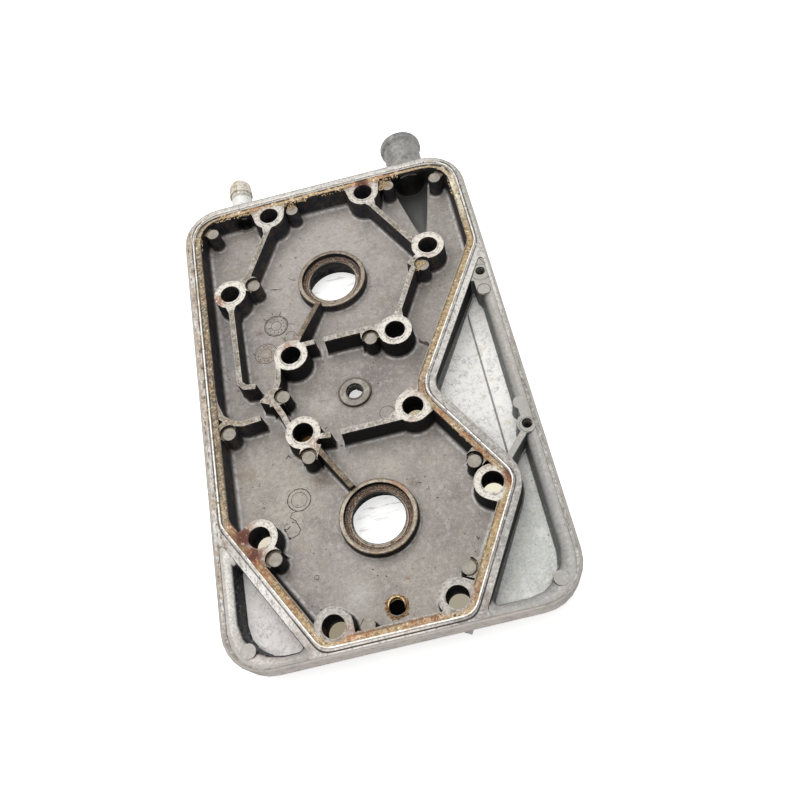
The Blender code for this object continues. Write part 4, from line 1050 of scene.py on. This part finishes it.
markLook = {
    "body": (50, 40, 32), "pale": (70, 58, 46), "bright": (104, 92, 78), "dark": (24, 18, 14),
    "scale": 1.7,
    # Circles on the floor: place, radius, line width, share of the line that is there
    "circles": [(-30.1, 45.2, 5.5, 0.34, 1.0), (-30.1, 45.2, 4.9, 0.16, 0.9), (-30.1, 45.2, 2.4, 0.18, 0.8),
        (-36.6, 31.5, 5.2, 0.2, 0.8), (-36.6, 31.5, 2.6, 0.16, 0.7), (-36.6, 31.5, 4.4, 0.12, 0.5),
        (-24.1, 37.6, 2.7, 0.16, 0.75), (11.9, -13.0, 3.3, 0.2, 0.85), (-31.4, -42.8, 4.9, 0.3, 1.0),
        (-31.4, -42.8, 3.3, 0.16, 0.7), (-36.4, -55.0, 3.4, 0.2, 0.5), (-29.0, -76.8, 0.9, 0.2, 0.9)],
    # Dial ticks: place, inner radius, outer radius, how many, line width
    "dials": [(-30.1, 45.2, 3.1, 4.2, 12, 0.24), (-36.6, 31.5, 3.2, 4.1, 12, 0.3)],
    # Cracks and scratches: line width and the points they run through
    "lines": [(1.0, 32.5, 19.4, 33.2, 18.0, 34.1, 16.9, 35.2, 16.6, 36.8, 14.5),
        (0.22, -33.0, -47.6, -35.0, -47.6, -36.1, -49.5, -34.1, -51.5, -33.2, -53.6, -32.6, -55.8,
         -33.8, -57.6, -36.2, -58.4, -38.7, -58.0),
        (1.0, -39.5, -54.1, -38.9, -55.0, -39.4, -55.8, -38.4, -56.8, -38.8, -57.8, -37.0, -58.5),
        (0.3, -39.5, -54.1, -38.0, -54.3, -36.5, -53.2),
        (0.3, -30.1, 66.3, -28.0, 66.0, -26.8, 65.4, -24.6, 65.4), (0.24, -28.6, 65.6, -27.2, 65.5),
        (0.2, -21.2, 70.6, -19.4, 69.2, -17.7, 68.3), (0.45, -22.1, 55.6, -21.5, 55.5),
        (0.18, -24.3, 44.6, -22.6, 44.2, -21.1, 43.6), (0.2, -30.9, 51.6, -31.2, 53.4),
        (0.22, -27.9, 50.6, -26.8, 52.6), (0.2, -34.0, 49.4, -35.6, 50.8),
        (0.34, -27.6, 37.6, -26.9, 35.9, -26.4, 34.4), (0.3, -42.5, 33.4, -41.3, 31.6),
        (0.3, -17.0, -13.2, -15.8, -13.5, -14.7, -12.6), (0.5, -13.2, -21.4, -12.4, -22.4, -11, -22.5),
        (0.3, -12.0, -22.3, -10.6, -23.0, -9.1, -23.6), (0.35, -33.0, -21.6, -34.4, -23.0),
        (0.28, -33.2, -22.0, -32.2, -23.2), (0.22, 18.2, -47.5, 19.8, -48.0), (0.2, 19, -47.8, 19.2, -49),
        (0.22, 20.7, -51.3, 21.9, -51.6, 22.2, -50.2), (0.26, 35.9, -75.6, 36.3, -77.0, 37.1, -76.2),
        (0.35, -47.1, -42.5, -45.9, -42.8), (0.3, -50.2, -32.0, -49.7, -32.3),
        (0.3, -47.5, -32.4, -47, -32.6), (0.35, -28.9, -66.8, -28.4, -66.8),
        (0.35, -22.6, -68.9, -22.1, -69.0), (0.3, -23.8, -66.2, -23.4, -66.4),
        (0.3, -40.5, -24.1, -40.1, -24.2), (0.3, -31.3, -52.2, -30.9, -52.3),
        (0.35, -43.9, 89.8, -43.5, 89.7), (0.3, -6.9, -78.6, -6.2, -79.2), (0.3, -2.3, -82.5, -1.6, -83.0),
        (0.25, 31.2, -38.5, 31.7, -39.0)],
    "height": 0.05,
}


def ribbon(shape, route, width, height, seed):
    # thin strip of uneven width laid along a route on a level face
    sides = []
    for i, p in enumerate(route):
        a, b = route[max(i - 1, 0)], route[min(i + 1, len(route) - 1)]
        along = (b - a).normalized()
        half = width / 2 * (0.75 + 0.55 * noise.noise(Vector((p.x, p.y, seed)) * 1.3))
        off = along.orthogonal() * half
        sides.append([shape.verts.new(place(*(p + off * k), height + (0 if k else 0.03))) for k in (-1, 0, 1)])
    for one, two in zip(sides, sides[1:]):
        for k in (0, 1):
            shape.faces.new((one[k], one[k + 1], two[k + 1], two[k]))


def smoothRoute(points, step=0.35, wobble=0.15):
    # a route through the points with small irregular side steps
    route = []
    for a, b in zip(points, points[1:]):
        a, b = Vector(a), Vector(b)
        count = max(2, round((b - a).length / step))
        for k in range(count):
            p = a.lerp(b, k / count)
            route.append(p + wobble * Vector((noise.noise(Vector((p.x, p.y, 1.0)) * 1.7),
                                              noise.noise(Vector((p.x, p.y, 8.0)) * 1.7))))
    return route + [Vector(points[-1])]


def floorMarks():
    # circles, dials, cracks and scratches of the jacket floor, all filled with dirt
    shape = bmesh.new()
    height = -casting["floorDepth"] + markLook["height"]

    def mark(route, width, seed):
        ribbon(shape, route, width * markLook["scale"], height, seed)

    for x, y, radius, width, share in markLook["circles"]:
        runs = [[]]
        for i in range(73):
            turn = 2 * pi * i / 72
            if waver(turn, 1.6, 2.0, x, y) * 0.5 + 0.5 < share or share >= 1.0:
                runs[-1].append(beside(x, y, radius + 0.1 * waver(turn, 3, 0.0, x, y), turn))
            else:
                runs.append([])
        for route in runs:
            if len(route) > 2:
                mark(route, width, radius)
    for x, y, inner, outer, count, width in markLook["dials"]:
        for k in range(count):
            turn = 2 * pi * (k + 0.3) / count
            ends = [beside(x, y, away, turn) for away in (inner + 0.25 * (k % 2), outer - 0.2 * (k % 3))]
            mark(smoothRoute(ends, 0.3, 0.1), width, k)
    for width, *spots in markLook["lines"]:
        mark(smoothRoute(list(zip(spots[::2], spots[1::2]))), width, spots[0])
    addPiece("floor_marks", shape, markLook, 0.5, 0.0)


outlineLook = {
    "body": (84, 76, 68), "pale": (110, 102, 92), "bright": (150, 142, 132), "dark": (44, 38, 33),
    # Circles on the pocket pads and pad tops: place, height, radius, width
    "circles": [(66.5, 39.0, -0.46, 4.3, 0.34), (65.7, 29.6, -0.46, 2.9, 0.45),
        (66.5, -39.0, -0.46, 3.3, 0.3)],
    "drop": [(0.0, 10.6), (0.9, 9.0), (1.9, 6.2), (3.1, 3.6), (4.0, 1.2), (4.1, -1.0)], "dropWidth": 0.4,
}


def padOutlines():
    # thin dark joints that the mould inserts left round the screw pads
    shape = bmesh.new()
    for x, y, height, radius, width in outlineLook["circles"]:
        ribbon(shape, [beside(x, y, radius, pi * i / 24) for i in range(49)], width, height, radius)
    x, y, height = outlineLook["circles"][0][:3]
    for side in (1, -1):
        route = [Vector((x + side * a, y + b)) for a, b in outlineLook["drop"]]
        ribbon(shape, route, outlineLook["dropWidth"], height, side)
    addPiece("pad_outlines", shape, outlineLook, 0.5, 0.0)


threadLook = {
    "body": (84, 82, 76), "pale": (120, 116, 104), "bright": (186, 182, 168), "dark": (30, 28, 25),
    # Section of the thread: depth from the hole's wall, height in pitches
    "section": [(0.02, 0.45), (0.42, 0.06), (0.42, -0.06), (0.02, -0.45)],
    # Place, hole radius, top, bottom, pitch
    "holes": [(0, 0, 3.7, -10.1, -14.8, 0.9), (66.5, 39.0, 2.2, -0.8, -8.8, 0.8),
        (66.5, -39.0, 2.2, -0.8, -8.8, 0.8)],
}


def holeThreads():
    # the thread in the centre boss and in the two screw holes
    for n, (x, y, radius, top, bottom, pitch) in enumerate(threadLook["holes"]):
        rows, steps = [], 24
        for i in range(int((top - bottom) / pitch * steps) + 1):
            turn, height = 2 * pi * i / steps, top - pitch * i / steps
            rows.append([place(*beside(x, y, radius - deep, turn), height + rise * pitch)
                         for deep, rise in threadLook["section"]])
        addPiece(f"hole_thread_{n}", grid(rows), threadLook, 0.5, 0.4)


for lay in (sealCrust, jacketDirt, landDrips, sleeveCrust, plugResidue, floorMarks, padOutlines,
            holeThreads):
    lay()
print("stage: deposits and marks laid")


# Table, light and camera

tableLook = {
    "colour": (0.93, 0.93, 0.93, 1.0), "size": 3.0, "seen": 0.62,
    # What shows through the lower bolt holes: place, reach, softness, colour, strength
    "shade": [(-25.4, -98, 5.5, 1.0, (152, 142, 122), 1.0), (22.8, -98, 5.5, 1.0, (166, 158, 140), 1.0),
        (-25.4, -14, 8, 1.5, (74, 50, 24), 1.0), (23.3, -14, 8, 1.5, (188, 180, 152), 1.0),
        (47.6, -56, 6.5, 1.0, (240, 234, 210), 1.0), (-49.4, -56, 5.5, 1.0, (228, 218, 198), 1.0)],
}


def whiteTable():
    mesh = bpy.data.meshes.new("white_table")
    half = tableLook["size"] / 2
    corners = [(x * half, y * half, 0) for x, y in ((-1, -1), (1, -1), (1, 1), (-1, 1))]
    mesh.from_pydata(corners, [], [(0, 1, 2, 3)])
    table = bpy.data.objects.new("white_table", mesh)
    bpy.context.scene.collection.objects.link(table)
    f = Finish("white_table", tableLook)
    tone, lit = f.flat(tableLook["colour"]), f.flat((1, 1, 1, 1))
    for x, y, reach, soft, colour, strength in tableLook["shade"]:
        mask = f.spot(x, y, reach, soft) * strength
        tone = tone.painted((mask, (0.04, 0.035, 0.03, 1)))
        lit = lit.painted((mask, tuple(c / tableLook["seen"] for c in linear(*colour))))
    streak = f.noise(1.4, 4, 0.7, (0.14, 1, 1)).over(0.55, 0.63) * f.plug().over(15, 12)
    lit = lit.painted((streak * 0.6, (0.22, 0.18, 0.15, 1)))
    seen = f.make("LightPath", {}) * tableLook["seen"]
    for value, name in ((lit, "Emission Color"), (seen, "Emission Strength")):
        f.tree.links.new(value.socket, f.shader.inputs[name])
    mesh.materials.append(f.finish(tone, 0.9, 0.0, specular=0.2))


lightLook = {
    "world": 0.5,
    # Lamps: place and size in metres, watts
    "lamps": {"overhead": ((-0.12, 0.22, 0.85), 0.9, 6.0)},
}


def softLight():
    world = bpy.data.worlds.new("soft_world")
    world.use_nodes = True
    bpy.context.scene.world = world
    tree = world.node_tree
    tree.nodes.clear()
    back = tree.nodes.new("ShaderNodeBackground")
    end = tree.nodes.new("ShaderNodeOutputWorld")
    path = Field(tree, tree.nodes.new("ShaderNodeLightPath").outputs[0])
    back.inputs[0].default_value = (1, 1, 1, 1)
    tree.links.new((path * (1 - lightLook["world"]) + lightLook["world"]).socket, back.inputs[1])
    tree.links.new(back.outputs[0], end.inputs[0])
    for name, (spot, size, watts) in lightLook["lamps"].items():
        data = bpy.data.lights.new(name, "AREA")
        data.shape, data.size, data.energy = "SQUARE", size, watts
        lamp = bpy.data.objects.new(name, data)
        lamp.location = spot
        lamp.rotation_euler = (-Vector(spot)).to_track_quat("-Z", "Y").to_euler()
        bpy.context.scene.collection.objects.link(lamp)


cameraLook = {
    "place": (29.483, -176.806, 298.512),
    "turn": ((0.970787, -0.194632, -0.140324), (0.237894, 0.856997, 0.457125),
             (0.031286, -0.477153, 0.878263)),
    "lens": 36.784,
}


def photoCamera():
    data = bpy.data.cameras.new("photo_camera")
    data.lens, data.sensor_width, data.sensor_fit = cameraLook["lens"], 36.0, "HORIZONTAL"
    data.clip_start, data.clip_end = 0.01, 10.0
    camera = bpy.data.objects.new("photo_camera", data)
    turn = Matrix(cameraLook["turn"]).transposed().to_4x4()
    camera.matrix_world = Matrix.Translation(place(*cameraLook["place"])) @ turn
    bpy.context.scene.collection.objects.link(camera)
    bpy.context.scene.camera = camera


whiteTable()
softLight()
photoCamera()
bpy.context.scene.view_settings.view_transform = "Standard"
print("stage: table, light and camera set")
